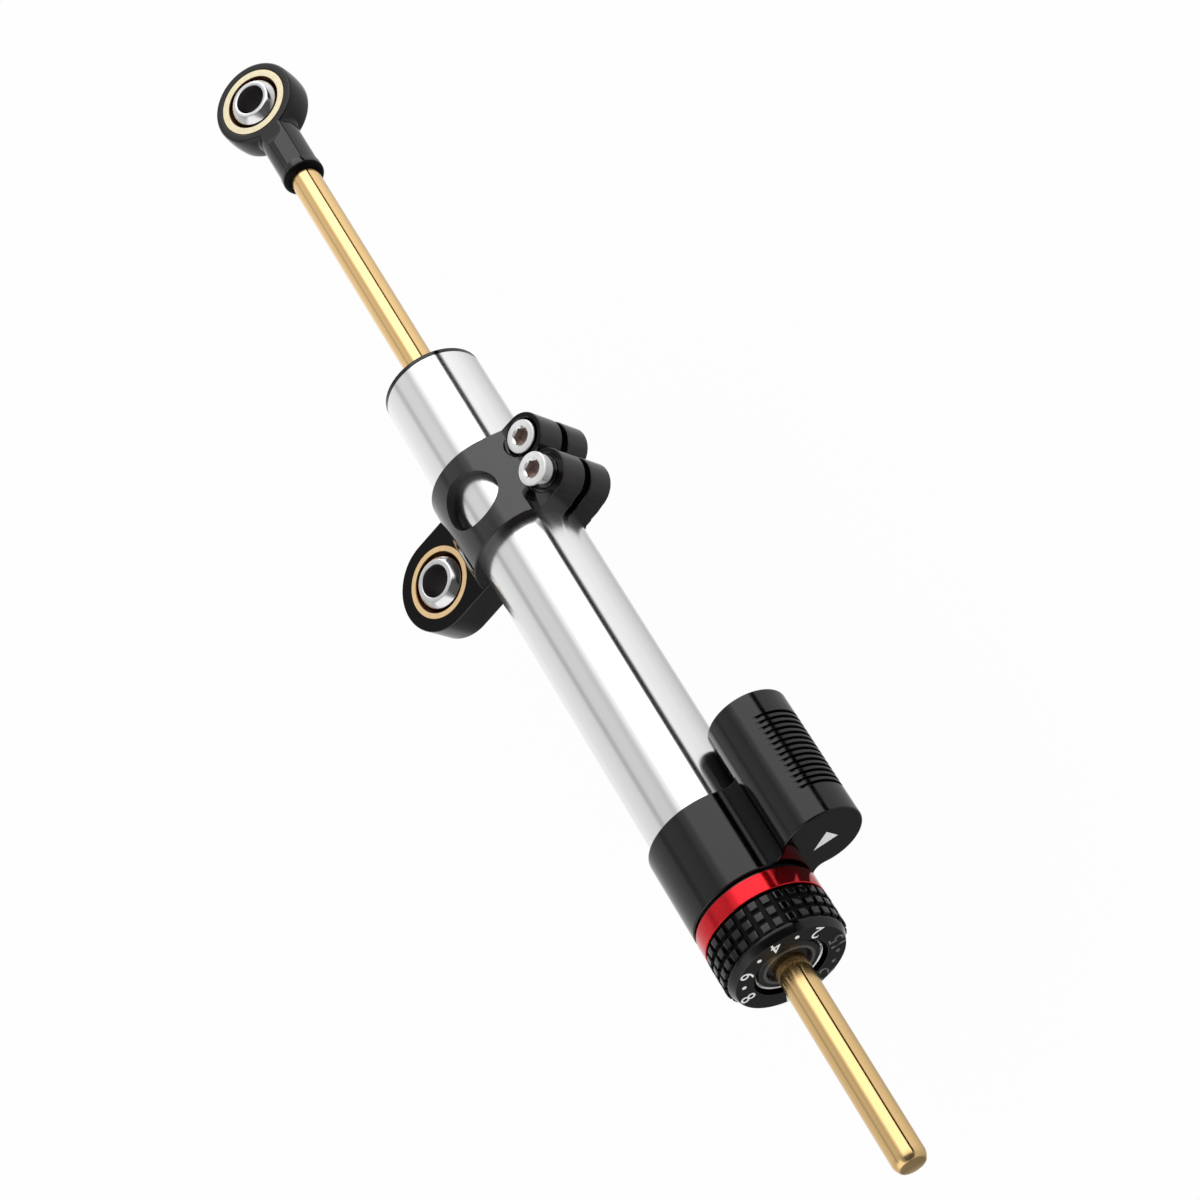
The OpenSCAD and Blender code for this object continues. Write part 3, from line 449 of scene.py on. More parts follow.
neckFrom, end = rodEnd["eyeX"] + 10.4, rodEnd["collarEnd"]
bm = spun([(0, neckFrom), (neckRadius, neckFrom), (neckRadius, rodEnd["collarFrom"]),
           (rodEnd["collar"], rodEnd["collarFrom"] + 0.4)]
          + arcPoints(rodEnd["collarRound"], 0, 90, 10,
                      (rodEnd["collar"] - rodEnd["collarRound"], end - rodEnd["collarRound"]))
          + [(0, end)], steps=128, closed=False)
neck = solid(bm, onAxis)
cutters = []
for flip in (0, 180):
    bm = block((0, 0, rodEnd["flat"] + 5), (60, 20, 10))
    cutters.append(solid(bm, Matrix.Translation((rodEnd["collarFrom"] - 30, axisY, 0))
                         @ Matrix.Rotation(radians(rodEnd["flatAt"] - 90 + flip), 4, "X")))
    curve = arcPoints(rodEnd["faceFillet"], -90, -20, 10,
                      (rodEnd["faceTo"], 4.49 + rodEnd["faceFillet"]))
    bm = spun([(0, 4.49)] + curve + [(curve[-1][0] + 0.3, 12), (0, 12)], steps=160, closed=False)
    cutters.append(solid(bm, atEye @ Matrix.Rotation(radians(flip), 4, "X")))
combine(neck, cutters, "DIFFERENCE")

holeRadius = rodSize["radius"] + 0.02
bm = spun([(0, rodEnd["holeFrom"]), (holeRadius, rodEnd["holeFrom"]), (holeRadius, end - 0.4),
           (rodSize["radius"] + 0.3, end + 1), (0, end + 1)], steps=96, closed=False)
rodHole = solid(bm, onAxis)
combine(eye, [root, neck], "UNION")
combine(eye, [rodHole], "DIFFERENCE")
finished("rodEndEye", asMesh(eye), blackAnodised, "rod_unit", ["rod_end_body"],
         # the collar's end face gets the black painted shade
         others=[(blackPaintedShade, lambda c, n: c.x > rodEnd["collarFrom"] and n.x > 0.1)])
bearingRace("rodEndRaceRing", "rod_unit", "rod_end_race", atEye, rodEnd["bore"], creamBrass)
bearingBall("rodEndBall", "rod_end_ball_unit", "rod_end_ball", atEye)
bearingLiner("rodEndLiner", "rod_end_liner_unit", "rod_end_liner", atEye)


# ---- tube

print("tube")
tube = {"radius": 12.8, "wall": 1.2, "from": -45.0, "to": 110.0}
bm = spun([(tube["radius"] - tube["wall"], tube["from"]), (tube["radius"], tube["from"]),
           (tube["radius"], tube["to"]), (tube["radius"] - tube["wall"], tube["to"])], steps=192)
finished("silverTube", bm, satinTube, "damper_body", ["outer_tube"], onAxis)


# ---- clamp

print("clamp")
clamp = {"bandRadius": 15.5, "from": -13.1, "to": 11.9, "earRadius": 12.2, "earHalf": 4.5,
         "race": 9.1, "lobeRadius": 6.1, "lobeA": -6.945, "lobeB": 5.505, "lobeY": 41.45,
         "lobeTop": 8.8, "lobeBottom": -8.3, "slotHalf": 1.1, "edge": 0.35,
         "window": (6.95, 8.1), "windowX": -0.96, "windowTurn": 15.7, "relief": 3.5,
         "reliefDepth": 8.35, "cutHeight": 20, "flatAt": 50,
         "screwRadius": 4.2, "screwHeight": 5.0, "hex": 4.0, "sunk": 4.4, "shallow": 0.5,
         "headGap": 0.5, "shank": 2.5, "shankHole": 2.55, "shankMouth": 3.1, "pocket": 2.9}
edge = clamp["edge"]
bm = spun([(0, clamp["from"]), (clamp["bandRadius"], clamp["from"]),
           (clamp["bandRadius"], clamp["to"]), (0, clamp["to"])], steps=192, closed=False)
roundEdges(bm, 0.4, 3)
band = solid(bm, onAxis)
reliefCuts = []
for x0, x1 in ((-30, clamp["from"] + clamp["relief"]), (clamp["to"] - clamp["relief"], 30)):
    reliefCuts.append(solid(block(
        ((x0 + x1) / 2, axisY, -clamp["reliefDepth"] - clamp["cutHeight"] / 2),
        (x1 - x0, 60, clamp["cutHeight"]))))
combine(band, reliefCuts, "DIFFERENCE")
ear = clamp["earRadius"]
bm = outlined((-ear, 0), [("arc", (0, 0), 180, 96), ("line", (ear, 15)), ("line", (-ear, 15))],
              -clamp["earHalf"], clamp["earHalf"])
roundEdges(bm, edge, 3, where=lambda e: abs(e.verts[0].co.z - e.verts[1].co.z) < 0.01)
earPlate = solid(bm)


def lobeBlock(z0, z1):
    r, y = clamp["lobeRadius"], clamp["lobeY"]
    near, far = clamp["from"] - 0.01, clamp["to"] + 0.01
    bm = outlined((near, 33),
                  [("line", (near, y - 1.9)), ("line", (clamp["lobeA"] - r, y)),
                   ("arc", (clamp["lobeA"], y), -180, 48),
                   ("line", (clamp["lobeB"] - r, y)), ("arc", (clamp["lobeB"], y), -180, 48),
                   ("line", (far, y - 1.9)), ("line", (far, 33))], z0, z1)
    roundEdges(bm, edge, 3, where=lambda e: abs(e.verts[0].co.z - e.verts[1].co.z) < 0.01)
    return solid(bm)


lobes = [lobeBlock(clamp["slotHalf"], clamp["lobeTop"]),
         lobeBlock(clamp["lobeBottom"], -clamp["slotHalf"])]
# a flat that leaves the band's round at an angle and ends on the lobes' top
lean = radians(clamp["flatAt"])
flatY, flatZ = axisY + clamp["bandRadius"] * cos(lean), clamp["bandRadius"] * sin(lean)
flatEnd = flatY + (flatZ - clamp["lobeTop"]) * sin(lean) / cos(lean)
bm = outlined((flatY, flatZ), [("line", (flatEnd, clamp["lobeTop"])), ("line", (flatEnd, 5)),
                               ("line", (flatY - 1, 5)), ("line", (flatY - 1, flatZ - 1)),
                               ("line", (flatY, flatZ))], clamp["from"] + 0.1, clamp["to"] - 0.1)
wedge = solid(bm, Matrix(((0, 0, 1, 0), (1, 0, 0, 0), (0, 1, 0, 0), (0, 0, 0, 1))))
combine(band, [earPlate, wedge] + lobes, "UNION")

bm = spun([(0, -30), (tube["radius"] + 0.02, -30), (tube["radius"] + 0.02, 30), (0, 30)],
          steps=180, closed=False)
boreCut = solid(bm, onAxis @ Matrix.Rotation(radians(0.4), 4, "Z"))
slotCut = solid(block((0, 37, 0), (40, 8, 2 * clamp["slotHalf"] - 0.04)))
bm = spun([(0, 5), (1, 5), (1, 25), (0, 25)], steps=128, closed=False)
windowCut = solid(bm, Matrix.Translation((clamp["windowX"], axisY, 0))
                  @ Matrix.Rotation(radians(-clamp["windowTurn"]), 4, "Z")
                  @ Matrix.Diagonal((*clamp["window"], 1, 1)))
bm = spun([(0, -8), (clamp["race"], -8), (clamp["race"], 8), (0, 8)], steps=128, closed=False)
raceCut = solid(bm)
combine(band, [boreCut, slotCut, windowCut, raceCut], "DIFFERENCE")

for x, depth in ((clamp["lobeA"], clamp["sunk"]), (clamp["lobeB"], clamp["shallow"])):
    top, mouth, narrow = clamp["lobeTop"], clamp["shankMouth"], clamp["shankHole"]
    seat, hole = top - depth, clamp["screwRadius"] + clamp["headGap"]
    bm = spun([(0, -20), (mouth, -20), (mouth, clamp["lobeBottom"] - 0.3),
               (narrow, clamp["lobeBottom"] + 0.25), (narrow, seat), (hole, seat),
               (hole, top - 0.25), (hole + 0.5, top + 0.25), (hole + 0.5, 20), (0, 20)],
              steps=100, closed=False)
    combine(band, [solid(bm, Matrix.Translation((x, clamp["lobeY"], 0)))], "DIFFERENCE")
pocketX, pocketY = clamp["to"] - 0.2 - clamp["pocket"], clamp["lobeY"] - 3.7
bm = outlined((pocketX, pocketY - clamp["pocket"]),
              [("line", (20, pocketY - clamp["pocket"])), ("line", (20, pocketY + clamp["pocket"])),
               ("line", (pocketX, pocketY + clamp["pocket"])),
               ("arc", (pocketX, pocketY), 180, 32)], clamp["lobeTop"], 16)
combine(band, [solid(bm)], "DIFFERENCE")


def inWindow(spot):
    offX, offY = spot.x - clamp["windowX"], spot.y - axisY
    turned = radians(clamp["windowTurn"])
    wide, tall = clamp["window"]
    return spot.z > 2 and hypot((offX * cos(turned) - offY * sin(turned)) / wide,
                                (offX * sin(turned) + offY * cos(turned)) / tall) < 1.01


finished("clampBand", asMesh(band), mottledBlack, "damper_body", ["clamp_body"],
         # painted shade on the ear's flat faces that face up
         others=[(blackFlatPaintedShade, lambda c, n: n.z > 0.95 and c.y < 15),
                 # painted reflection on the lobes' top
                 (blackLobePaintedSheen, lambda c, n: n.z > 0.95 and c.y > 33),
                 # painted light on the window's wall
                 (blackWallPaintedLight, lambda c, n: abs(n.z) < 0.3 and inWindow(c))])
bearingRace("clampRaceRing", "damper_body", "clamp_race", Matrix.Identity(4), clamp["race"],
            paleBrass)
bearingBall("clampBall", "clamp_ball_unit", "clamp_ball", Matrix.Identity(4))
bearingLiner("clampLiner", "clamp_liner_unit", "clamp_liner", Matrix.Identity(4))


def socketScrew(x, seat):
    r, h = clamp["screwRadius"], clamp["screwHeight"]
    tip = clamp["lobeBottom"] + 0.6 - seat
    bm = spun([(0, tip), (clamp["shank"], tip), (clamp["shank"], 0), (r, 0), (r, h), (0, h)],
              steps=96, closed=False)
    roundEdges(bm, 0.42, 2, sharper=60, where=lambda e: e.verts[0].co.z > h - 0.1)
    screw = solid(bm)
    bm = bmesh.new()
    bmesh.ops.create_cone(bm, cap_ends=True, segments=6, radius1=clamp["hex"] / sqrt(3),
                          radius2=clamp["hex"] / sqrt(3), depth=5,
                          matrix=Matrix.Translation((0, 0, h)))
    bmesh.ops.rotate(bm, cent=(0, 0, 0), matrix=Matrix.Rotation(radians(20), 3, "Z"),
                     verts=bm.verts)
    hexCut = solid(bm)
    bm = spun([(0, h - 0.5), (clamp["hex"] / 2, h - 0.5),
               (clamp["hex"] / 2 + 0.6, h + 0.1), (0, h + 0.1)], steps=64, closed=False)
    combine(screw, [hexCut, solid(bm)], "DIFFERENCE")
    bm = asMesh(screw)
    bmesh.ops.translate(bm, vec=(x, clamp["lobeY"], seat), verts=bm.verts)
    return bm


bm = socketScrew(clamp["lobeA"], clamp["lobeTop"] - clamp["sunk"])
second = socketScrew(clamp["lobeB"], clamp["lobeTop"] - clamp["shallow"])
spare = bpy.data.meshes.new("secondScrew")
second.to_mesh(spare)
second.free()
bm.from_mesh(spare)


def fromScrew(spot):
    return min(hypot(spot.x - x, spot.y - clamp["lobeY"]) for x in (clamp["lobeA"], clamp["lobeB"]))


finished("clampScrewPair", bm, brightZinc, "damper_body", ["clamp_screws"],
         others=[(polishedSteel, lambda c, n: fromScrew(c) > 4.1 and abs(n.z) < 0.3),
                 # the socket's walls get the painted shade
                 (socketPaintedShade, lambda c, n: fromScrew(c) < 2.32 and (abs(n.z) < 0.3
                  or fromScrew(c) < 1.9))])


# ---- valve body with its reservoir

print("valve body")
valve = {"from": 102.0, "to": 124.4, "radius": 14.9, "reservoirFrom": 88.6, "reservoir": 9.8,
         "reservoirOut": 22.9, "fillet": 3.0, "round": 0.5, "stepRadius": 14.0, "stepTo": 125.3,
         "fins": 14, "finFirst": 95.5, "finPitch": 1.6, "finWidth": 0.8, "finDepth": 1.0,
         "finShift": 2.4, "plugBore": 7.5, "oilTo": 97.0, "chamber": 11.0, "wallFrom": 122.4,
         "neckBore": 9.86}
bigR, smallR, out, fillet = (valve["radius"], valve["reservoir"], valve["reservoirOut"],
                             valve["fillet"])
webY = ((bigR + fillet) ** 2 - (smallR + fillet) ** 2 + out ** 2) / (2 * out)
webZ = sqrt((bigR + fillet) ** 2 - webY ** 2)
fromMain = atan2(webZ, webY)
fromReservoir = atan2(webZ, out - webY)
turnFillet = degrees(pi - fromMain - fromReservoir)
bm = bmesh.new()


def sweep(tip, centre, angle, steps):
    # spins one vertex round a centre and gives the whole chain of vertices
    before = set(bm.verts)
    made = bmesh.ops.spin(bm, geom=[tip], cent=(*centre, 0), axis=(0, 0, 1), dvec=(0, 0, 0),
                          angle=radians(angle), steps=steps, use_duplicate=False)
    last = vertsOf(made["geom_last"])[0]
    chain, here = [tip], tip
    while here is not last:
        here = [e.other_vert(here) for e in here.link_edges
                if e.other_vert(here) not in before and e.other_vert(here) not in chain][0]
        chain.append(here)
    return chain


# local X is the world's Y from the damper axis, local Y the world's Z
first = bm.verts.new((bigR * cos(fromMain), bigR * sin(fromMain), 0))
mainArc = sweep(first, (0, 0), 360 - 2 * degrees(fromMain), 144)
lowFillet = sweep(mainArc[-1], (webY, -webZ), -turnFillet, 16)
roundArc = sweep(lowFillet[-1], (out, 0), 360 - 2 * degrees(fromReservoir), 108)
highFillet = sweep(roundArc[-1], (webY, webZ), -turnFillet, 16)
innerArc = sweep(roundArc[-1], (out, 0), 2 * degrees(fromReservoir), 44)
bmesh.ops.weld_verts(bm, targetmap={highFillet[-1]: first, innerArc[-1]: lowFillet[-1]})
highFillet[-1], innerArc[-1] = first, lowFillet[-1]
reservoirFace = bm.faces.new(roundArc[:-1] + innerArc[:-1])
bodyFace = bm.faces.new(mainArc[:-1] + lowFillet[:-1] + innerArc[::-1][:-1] + highFillet[:-1])
grown = bmesh.ops.extrude_face_region(bm, geom=[reservoirFace, bodyFace])["geom"]
bmesh.ops.translate(bm, verts=vertsOf(grown), vec=(0, 0, valve["from"] - valve["to"]))
farRound = [f for f in grown if isinstance(f, bmesh.types.BMFace)
            and (f.calc_center_median() - Vector((out, 0, 0))).xy.length < 1]
grown = bmesh.ops.extrude_face_region(bm, geom=farRound)["geom"]
bmesh.ops.translate(bm, verts=vertsOf(grown), vec=(0, 0, valve["reservoirFrom"] - valve["from"]))
bmesh.ops.delete(bm, geom=farRound, context="FACES_ONLY")
bmesh.ops.dissolve_edges(bm, edges=[e for e in bm.edges if len(e.link_faces) == 2
                                    and all(abs(v.co.z) < 0.001 for v in e.verts)
                                    and all(abs(f.normal.z) > 0.9 for f in e.link_faces)
                                    and e.calc_face_angle(0) < 0.01], use_verts=False)
bmesh.ops.recalc_face_normals(bm, faces=bm.faces)
roundEdges(bm, valve["round"], 3, sharper=60, where=convexOnly)
# local X, Y, Z become the world's Y, Z, X
turnToWorld = Matrix(((0, 0, 1, valve["to"]), (1, 0, 0, axisY), (0, 1, 0, 0), (0, 0, 0, 1)))
body = solid(bm, turnToWorld)

bm = spun([(0, 80), (valve["plugBore"] + 0.6, 80), (valve["plugBore"] + 0.6, 88.5),
           (valve["plugBore"] + 0.1, 89.0), (valve["plugBore"] + 0.1, valve["oilTo"]),
           (0, valve["oilTo"])], steps=96, closed=False)
plugCut = solid(bm, Matrix.Translation((0, axisY + out, 0))
                @ Matrix.Rotation(radians(90), 4, "Y"))
# the tube's seat, the chamber in which the piston runs and the knob's neck
bm = spun([(0, 100), (tube["radius"] + 0.02, 100), (tube["radius"] + 0.02, tube["to"]),
           (valve["chamber"], tube["to"]), (valve["chamber"], valve["wallFrom"]),
           (valve["neckBore"], valve["wallFrom"]), (valve["neckBore"], 130), (0, 130)], steps=180,
          closed=False)
chamberCut = solid(bm, onAxis @ Matrix.Rotation(radians(0.4), 4, "Z"))
combine(body, [plugCut, chamberCut], "DIFFERENCE")

ringRadius = smallR - valve["finDepth"] + valve["finShift"]
flare = ringRadius + valve["finDepth"] - 0.16
half = valve["finWidth"] / 2
grooveAxis = (Matrix.Translation((0, axisY + out - valve["finShift"], 0))
              @ Matrix.Rotation(radians(90), 4, "Y"))
for k in range(valve["fins"]):
    x = valve["finFirst"] + k * valve["finPitch"]
    bm = spun([(ringRadius, x - half), (ringRadius, x + half), (flare, x + half),
               (flare + 0.36, x + half + 0.36), (13, x + half + 0.36), (13, x - half - 0.36),
               (flare + 0.36, x - half - 0.36), (flare, x - half)], steps=160)
    bmesh.ops.transform(bm, matrix=grooveAxis, verts=bm.verts)
    cut = bmesh.ops.bisect_plane(bm, geom=bm.verts[:] + bm.edges[:] + bm.faces[:], clear_inner=True,
                                 plane_co=(0, axisY + out, 0), plane_no=(0, 1, 0))["geom_cut"]
    bmesh.ops.holes_fill(bm, edges=[e for e in cut if isinstance(e, bmesh.types.BMEdge)])
    combine(body, [solid(bm)], "DIFFERENCE")
bm = spun([(10.4, 123), (valve["stepRadius"], 123), (valve["stepRadius"], valve["stepTo"] + 0.1),
           (10.4, valve["stepTo"] + 0.1)], steps=144)
combine(body, [solid(bm, onAxis)], "UNION")
finished("valveBlock", asMesh(body), blackGloss, "damper_body", ["valve_body"],
         others=[(blackReservoir, lambda c, n: c.y > axisY + out - 8.4 and n.x < 0.9),
                 (blackShade, lambda c, n: abs(n.x) < 0.5 and hypot(c.y - axisY, c.z) > bigR + 0.02
                  and hypot(c.y - axisY - out, c.z) > smallR + 0.02),
                 (blackShade, lambda c, n: c.x < valve["from"] - 0.1 and c.y < axisY + out - 8.4),
                 # the fin grooves' side walls get the black painted shade
                 (blackPaintedShade, lambda c, n: abs(n.x) > 0.9 and c.y > axisY + out
                  and 94 < c.x < 118)])

pointer = {"tip": (43.1, -0.7), "high": (48.9, 0.9), "low": (48.8, -3.2), "thick": 0.03}
bm = bmesh.new()
corners = [bm.verts.new((valve["to"] - 0.02, *pointer[k])) for k in ("tip", "high", "low")]
made = bmesh.ops.extrude_face_region(bm, geom=[bm.faces.new(corners)])["geom"]
bmesh.ops.translate(bm, verts=vertsOf(made), vec=(pointer["thick"] + 0.02, 0, 0))
bmesh.ops.recalc_face_normals(bm, faces=bm.faces)
finished("pointerTriangle", bm, dialPaint, "damper_body")


# ---- red ring and knob

print("red ring and knob")
ring = {"from": 125.3, "to": 130.1, "radius": 14.9, "bore": 10.1}
bm = spun([(ring["bore"], ring["from"]), (ring["radius"], ring["from"]),
           (ring["radius"], ring["to"]), (ring["bore"], ring["to"])], steps=160)
roundEdges(bm, 0.25, 3)
finished("redRing", bm, redAnodised, "damper_body", ["red_ring"], onAxis)

knob = {"from": 130.3, "to": 141.5, "radius": 15.0, "floor": 14.25, "bore": 7.65, "recess": 9.05,
        "shelf": 139.4, "face": 13.4, "rows": ((130.9, 132.8), (133.95, 135.85), (137.0, 138.9)),
        "pads": 30, "padTurn": 4, "padHalf": 4, "dialRadius": 11.4, "digitHeight": 3.6, "dot": 0.55,
        "neck": 9.8, "neckTo": 131.3, "backRadius": 14.1}
rowEdges = [x for row in knob["rows"] for x in row]
bm = spun([(knob["bore"], knob["neckTo"]), (knob["neck"], knob["neckTo"]),
           (knob["neck"], knob["from"]), (knob["backRadius"], knob["from"]),
           (knob["floor"], 130.6)] + [(knob["floor"], x) for x in rowEdges]
          + [(knob["floor"] + 0.1, 139.3), (knob["floor"] - 0.1, 139.9),
             (knob["face"], knob["to"]), (knob["recess"], knob["to"]),
             (knob["recess"], knob["shelf"]), (knob["bore"], knob["shelf"])], steps=180)
bmesh.ops.transform(bm, matrix=onAxis, verts=bm.verts)
bm.normal_update()


def onPad(face):
    spot = face.calc_center_median()
    angle = degrees(atan2(spot.z, spot.y - axisY))
    off = (angle - knob["padTurn"] + 6) % 12 - 6
    radial = hypot(spot.z, spot.y - axisY)
    return (radial > 14.2 and abs(off) < knob["padHalf"]
            and any(a < spot.x < b for a, b in knob["rows"]))


pads = [f for f in bm.faces if onPad(f)]
bmesh.ops.inset_region(bm, faces=pads, thickness=0.07, depth=knob["radius"] - knob["floor"],
                       use_boundary=True, use_even_offset=True)
roundEdges(bm, 0.11, 2, sharper=50, where=lambda e: e.is_convex and 14.8 < hypot(
    e.verts[0].co.z, e.verts[0].co.y - axisY) < 15.1 and e.verts[0].co.x < 139.2)
roundEdges(bm, 0.2, 3, sharper=28, where=lambda e: e.is_convex and (
    e.verts[0].co.x > 139.0 and e.verts[1].co.x > 139.0))
finished("adjusterKnob", bm, blackGloss, "knob_unit", ["adjuster_knob"],
         # the floors between the pads get the black painted shade
         others=[(blackPaintedShade, lambda c, n: c.x < 139.2 and hypot(c.z, c.y - axisY) < 14.8),
                 # the knob's end face gets the matt painted shade
                 (blackDialPaintedShade, lambda c, n: n.x > 0.9)])

snapRing = {"inner": 6.95, "coneFrom": 7.8, "coneTo": 8.2, "outer": 8.3, "from": 139.5,
            "flat": 139.95, "top": 140.4}
bm = spun([(snapRing["inner"], snapRing["from"]), (snapRing["outer"], snapRing["from"]),
           (snapRing["outer"], snapRing["top"]), (snapRing["coneTo"], snapRing["top"]),
           (snapRing["coneFrom"], snapRing["flat"]), (snapRing["inner"], snapRing["flat"])],
          steps=144)
# the ring's flat top and outer rim get the black painted shade, so that only its cone shows bright
# steel
finished("snapRing", bm, brightZinc, "damper_body", ["knob_circlip"], onAxis,
         others=[(blackPaintedShade, lambda c, n: n.z > 0.97 or hypot(c.x, c.y) > snapRing["coneTo"])])


def dialMark(name, text, angle):
    # a painted numeral whose top points to the rod, or a painted dot
    out = knob["dialRadius"]
    if text:
        curve = bpy.data.curves.new(name, "FONT")
        curve.body, curve.size, curve.align_x, curve.align_y = text, 4.0, "CENTER", "CENTER"
        curve.extrude = 0.05
        thing = bpy.data.objects.new(name, curve)
        scene.collection.objects.link(thing)
        mesh = realMesh(thing)
        bpy.data.objects.remove(thing)
        bm = bmesh.new()
        bm.from_mesh(mesh)
        bmesh.ops.remove_doubles(bm, verts=bm.verts, dist=0.0005)
        low = min(v.co.y for v in bm.verts)
        high = max(v.co.y for v in bm.verts)
        mid = (min(v.co.x for v in bm.verts) + max(v.co.x for v in bm.verts)) / 2
        grow = knob["digitHeight"] / (high - low)
        bmesh.ops.translate(bm, vec=(-mid, -(low + high) / 2, 0), verts=bm.verts)
        bmesh.ops.scale(bm, vec=(grow, grow, 0.4), verts=bm.verts)
    else:
        bm = bmesh.new()
        bmesh.ops.create_cone(bm, cap_ends=True, segments=32, radius1=knob["dot"],
                              radius2=knob["dot"] - 0.02, depth=0.05)
    # text up is toward the rod and text right is the way the numbers run
    a = radians(angle)
    up = Vector((0, -cos(a), -sin(a)))
    normal = Vector((1, 0, 0))
    right = up.cross(normal)
    place = Matrix((right, up, normal)).transposed().to_4x4()
    place.translation = Vector((knob["to"] + 0.02, axisY + out * cos(a), out * sin(a)))
    bmesh.ops.transform(bm, matrix=place, verts=bm.verts)
    # marks past 260 degrees get the dim grey paint
    return finished(name, bm, dimPaint if angle > 260 else dialPaint, "knob_unit")


# each mark's text and its angle round the rod
marks = (("2", 14.5), ("", 40), ("4", 65.7), ("", 89.3), ("6", 114.5), ("", 135), ("8", 159.7),
         ("10", 231), ("", 251), ("12", 271), ("", 293), ("", 311.3), ("15", 331))
for number, (text, angle) in enumerate(marks, 2):
    dialMark("dialMark%02d" % number, text, angle)


# ---- studio: floor, world and camera

print("studio")


def anySight(nodes, links, seen):
    # camera, glossy and transmission rays see the background, and all others the plain light
    total = seen.outputs["Is Camera Ray"]
    for kind in ("Is Glossy Ray", "Is Transmission Ray"):
        both = nodes.new("ShaderNodeMath")
        both.operation, both.use_clamp = "ADD", True
        links.new(total, both.inputs[0])
        links.new(seen.outputs[kind], both.inputs[1])
        total = both.outputs["Value"]
    return total


floorMesh = bpy.data.meshes.new("floor")
bm = bmesh.new()
bmesh.ops.create_grid(bm, x_segments=1, y_segments=1, size=4.0,
                      matrix=Matrix.Translation((0, 0, -0.06)))
bm.to_mesh(floorMesh)
bm.free()
floor = bpy.data.objects.new("floor", floorMesh)
scene.collection.objects.link(floor)
floorPaint = bpy.data.materials.new("floorPaint")
floorPaint.use_nodes = True
nodes, links = floorPaint.node_tree.nodes, floorPaint.node_tree.links
nodes.clear()
seen = nodes.new("ShaderNodeLightPath")
white = nodes.new("ShaderNodeEmission")
white.inputs["Strength"].default_value = 1.0
matt = nodes.new("ShaderNodeBsdfDiffuse")
matt.inputs["Color"].default_value = (0.9, 0.9, 0.9, 1)
mix = nodes.new("ShaderNodeMixShader")
output = nodes.new("ShaderNodeOutputMaterial")
shade = nodes.new("ShaderNodeMixShader")
shade.inputs["Fac"].default_value = 0.06
links.new(white.outputs["Emission"], shade.inputs[1])
links.new(matt.outputs["BSDF"], shade.inputs[2])
links.new(anySight(nodes, links, seen), mix.inputs["Fac"])
links.new(matt.outputs["BSDF"], mix.inputs[1])
links.new(shade.outputs["Shader"], mix.inputs[2])
links.new(mix.outputs["Shader"], output.inputs["Surface"])
floorMesh.materials.append(floorPaint)
floor.visible_glossy = False

# Levels by the angle round the X axis. What looks back along the rod sees a long softbox with
# a dark gap beside it, and what looks ahead sees a second one.
studio = {"behind": ((-180, 0.83), (-150, 0.95), (-120, 0.96), (-98, 0.78), (-82, 0.56),
                     (-60, 0.69), (-43, 0.79), (-20, 0.9), (9, 0.98), (12.5, 0.0), (21.5, 0.0),
                     (25, 1.85), (75, 1.85), (86, 0.98), (98, 0.6), (110, 0.68), (128, 0.68),
                     (135, 0.46), (140, 0.46), (146, 0.72), (165, 0.78), (180, 0.83)),
          "ahead": ((-180, 0.75), (-150, 0.45), (-116, 0.2), (-90, 0.3), (-40, 0.5), (0, 0.6),
                    (14, 0.3), (22, 0.08), (80, 0.1), (100, 0.3), (125, 1.1), (165, 1.1),
                    (180, 0.75)),
          "plain": 0.95, "turnsAt": (0.05, 0.35),
          "alongRod": ((-0.75, 1.15), (-0.56, 1.0), (-0.42, 0.84), (0, 0.75))}
world = bpy.data.worlds.new("studio")
scene.world = world
world.use_nodes = True
nodes, links = world.node_tree.nodes, world.node_tree.links
nodes.clear()
direction = nodes.new("ShaderNodeTexCoord")
parts = nodes.new("ShaderNodeSeparateXYZ")
angle = nodes.new("ShaderNodeMath")
angle.operation = "ARCTAN2"
links.new(direction.outputs["Generated"], parts.inputs["Vector"])
links.new(parts.outputs["Z"], angle.inputs[0])
links.new(parts.outputs["Y"], angle.inputs[1])


def levelRamp(source, low, high, levels, smooth="EASE"):
    share = nodes.new("ShaderNodeMapRange")
    share.inputs["From Min"].default_value = low
    share.inputs["From Max"].default_value = high
    links.new(source, share.inputs["Value"])
    ramp = nodes.new("ShaderNodeValToRGB")
    ramp.color_ramp.interpolation = smooth
    stops = ramp.color_ramp.elements
    stops[0].color = (*[levels[0][1]] * 3, 1)
    stops[1].color = (*[levels[-1][1]] * 3, 1)
    span = levels[-1][0] - levels[0][0]
    for at, level in levels[1:-1]:
        stops.new((at - levels[0][0]) / span).color = (level, level, level, 1)
    links.new(share.outputs["Result"], ramp.inputs["Fac"])
    return ramp.outputs["Color"]


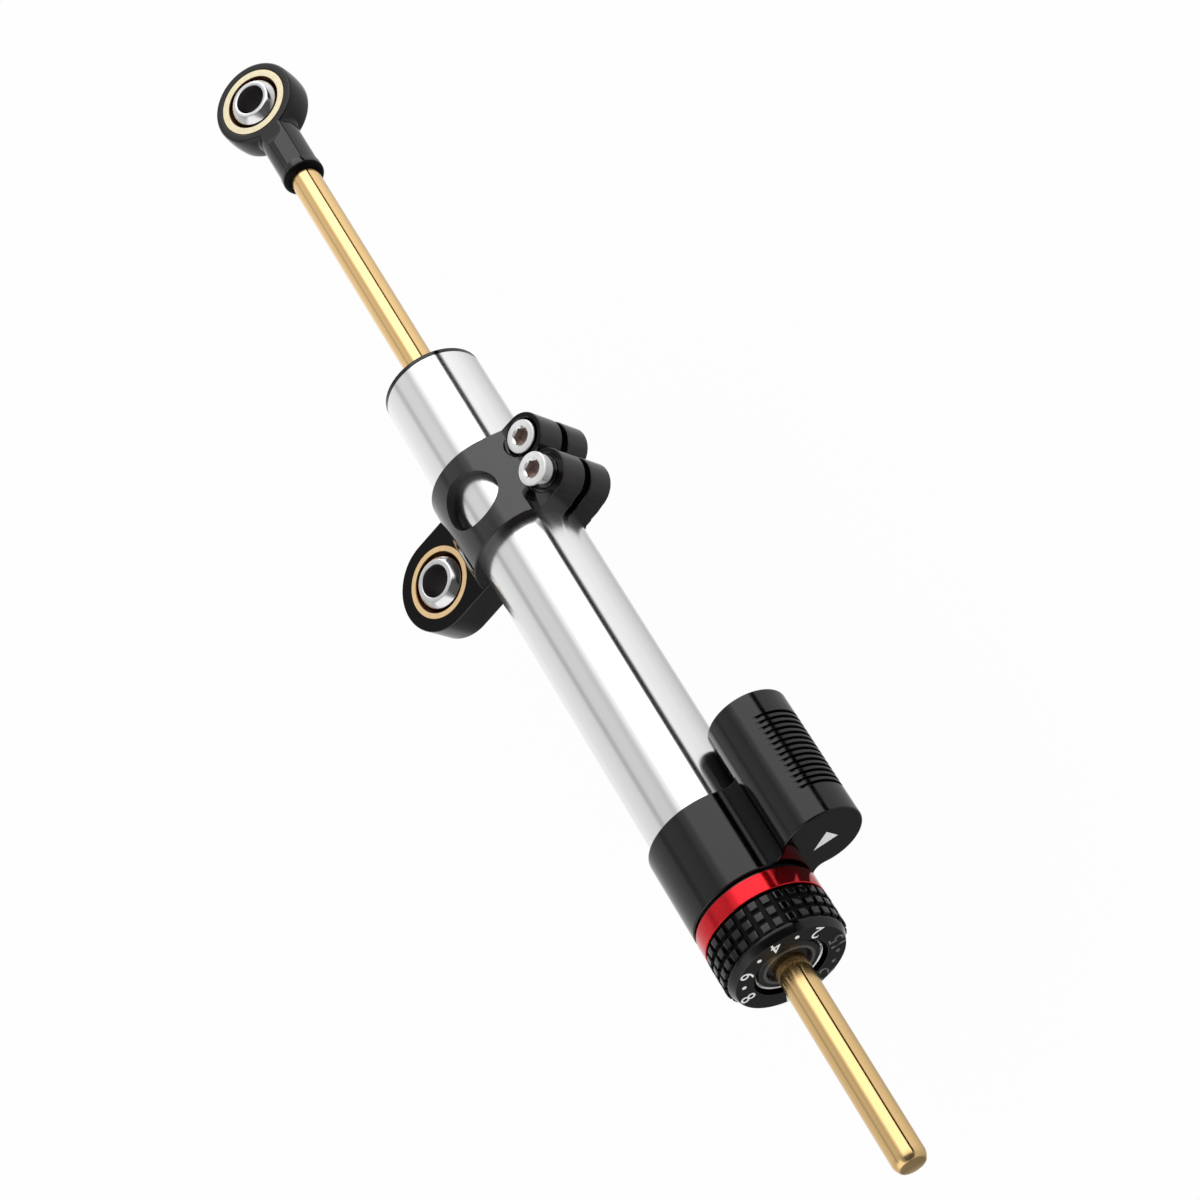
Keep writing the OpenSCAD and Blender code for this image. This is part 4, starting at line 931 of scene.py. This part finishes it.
behind = levelRamp(angle.outputs["Value"], -pi, pi, studio["behind"])
ahead = levelRamp(angle.outputs["Value"], -pi, pi, studio["ahead"])
along = studio["alongRod"]
strength = levelRamp(parts.outputs["X"], along[0][0], along[-1][0], along, "LINEAR")
dimmed = nodes.new("ShaderNodeVectorMath")
dimmed.operation = "MULTIPLY"
links.new(behind, dimmed.inputs[0])
links.new(strength, dimmed.inputs[1])
turning = nodes.new("ShaderNodeMapRange")
turning.interpolation_type = "SMOOTHSTEP"
turning.inputs["From Min"].default_value = studio["turnsAt"][0]
turning.inputs["From Max"].default_value = studio["turnsAt"][1]
links.new(parts.outputs["X"], turning.inputs["Value"])
blend = nodes.new("ShaderNodeMix")
blend.data_type = "VECTOR"
links.new(turning.outputs["Result"], blend.inputs["Factor"])
links.new(dimmed.outputs["Vector"], blend.inputs[4])
links.new(ahead, blend.inputs[5])
rays = nodes.new("ShaderNodeLightPath")
backdrop = nodes.new("ShaderNodeMix")
backdrop.data_type = "VECTOR"
links.new(rays.outputs["Is Camera Ray"], backdrop.inputs["Factor"])
links.new(blend.outputs[1], backdrop.inputs[4])
backdrop.inputs[5].default_value = (1, 1, 1)
shown = nodes.new("ShaderNodeBackground")
links.new(backdrop.outputs[1], shown.inputs["Color"])
plain = nodes.new("ShaderNodeBackground")
plain.inputs["Color"].default_value = (*[studio["plain"]] * 3, 1)
pick = nodes.new("ShaderNodeMixShader")
skyOut = nodes.new("ShaderNodeOutputWorld")
links.new(anySight(nodes, links, rays), pick.inputs["Fac"])
links.new(plain.outputs["Background"], pick.inputs[1])
links.new(shown.outputs["Background"], pick.inputs[2])
links.new(pick.outputs["Shader"], skyOut.inputs["Surface"])

view = {"place": (488.9, 325.6, 592.0), "right": (0.43699, 0.62668, -0.64522),
        "up": (-0.69972, 0.68759, 0.19392), "fieldOfView": 19.66}
right, up = Vector(view["right"]).normalized(), Vector(view["up"]).normalized()
lens = bpy.data.cameras.new("photoView")
lens.sensor_width = 36
lens.angle = radians(view["fieldOfView"])
lens.clip_start, lens.clip_end = 0.01, 20
camera = bpy.data.objects.new("photoView", lens)
turn = Matrix((right, up, right.cross(up))).transposed()
camera.matrix_world = Matrix.Translation(Vector(view["place"]) * mm) @ turn.to_4x4()
scene.collection.objects.link(camera)
scene.camera = camera
scene.view_settings.view_transform = "Standard"
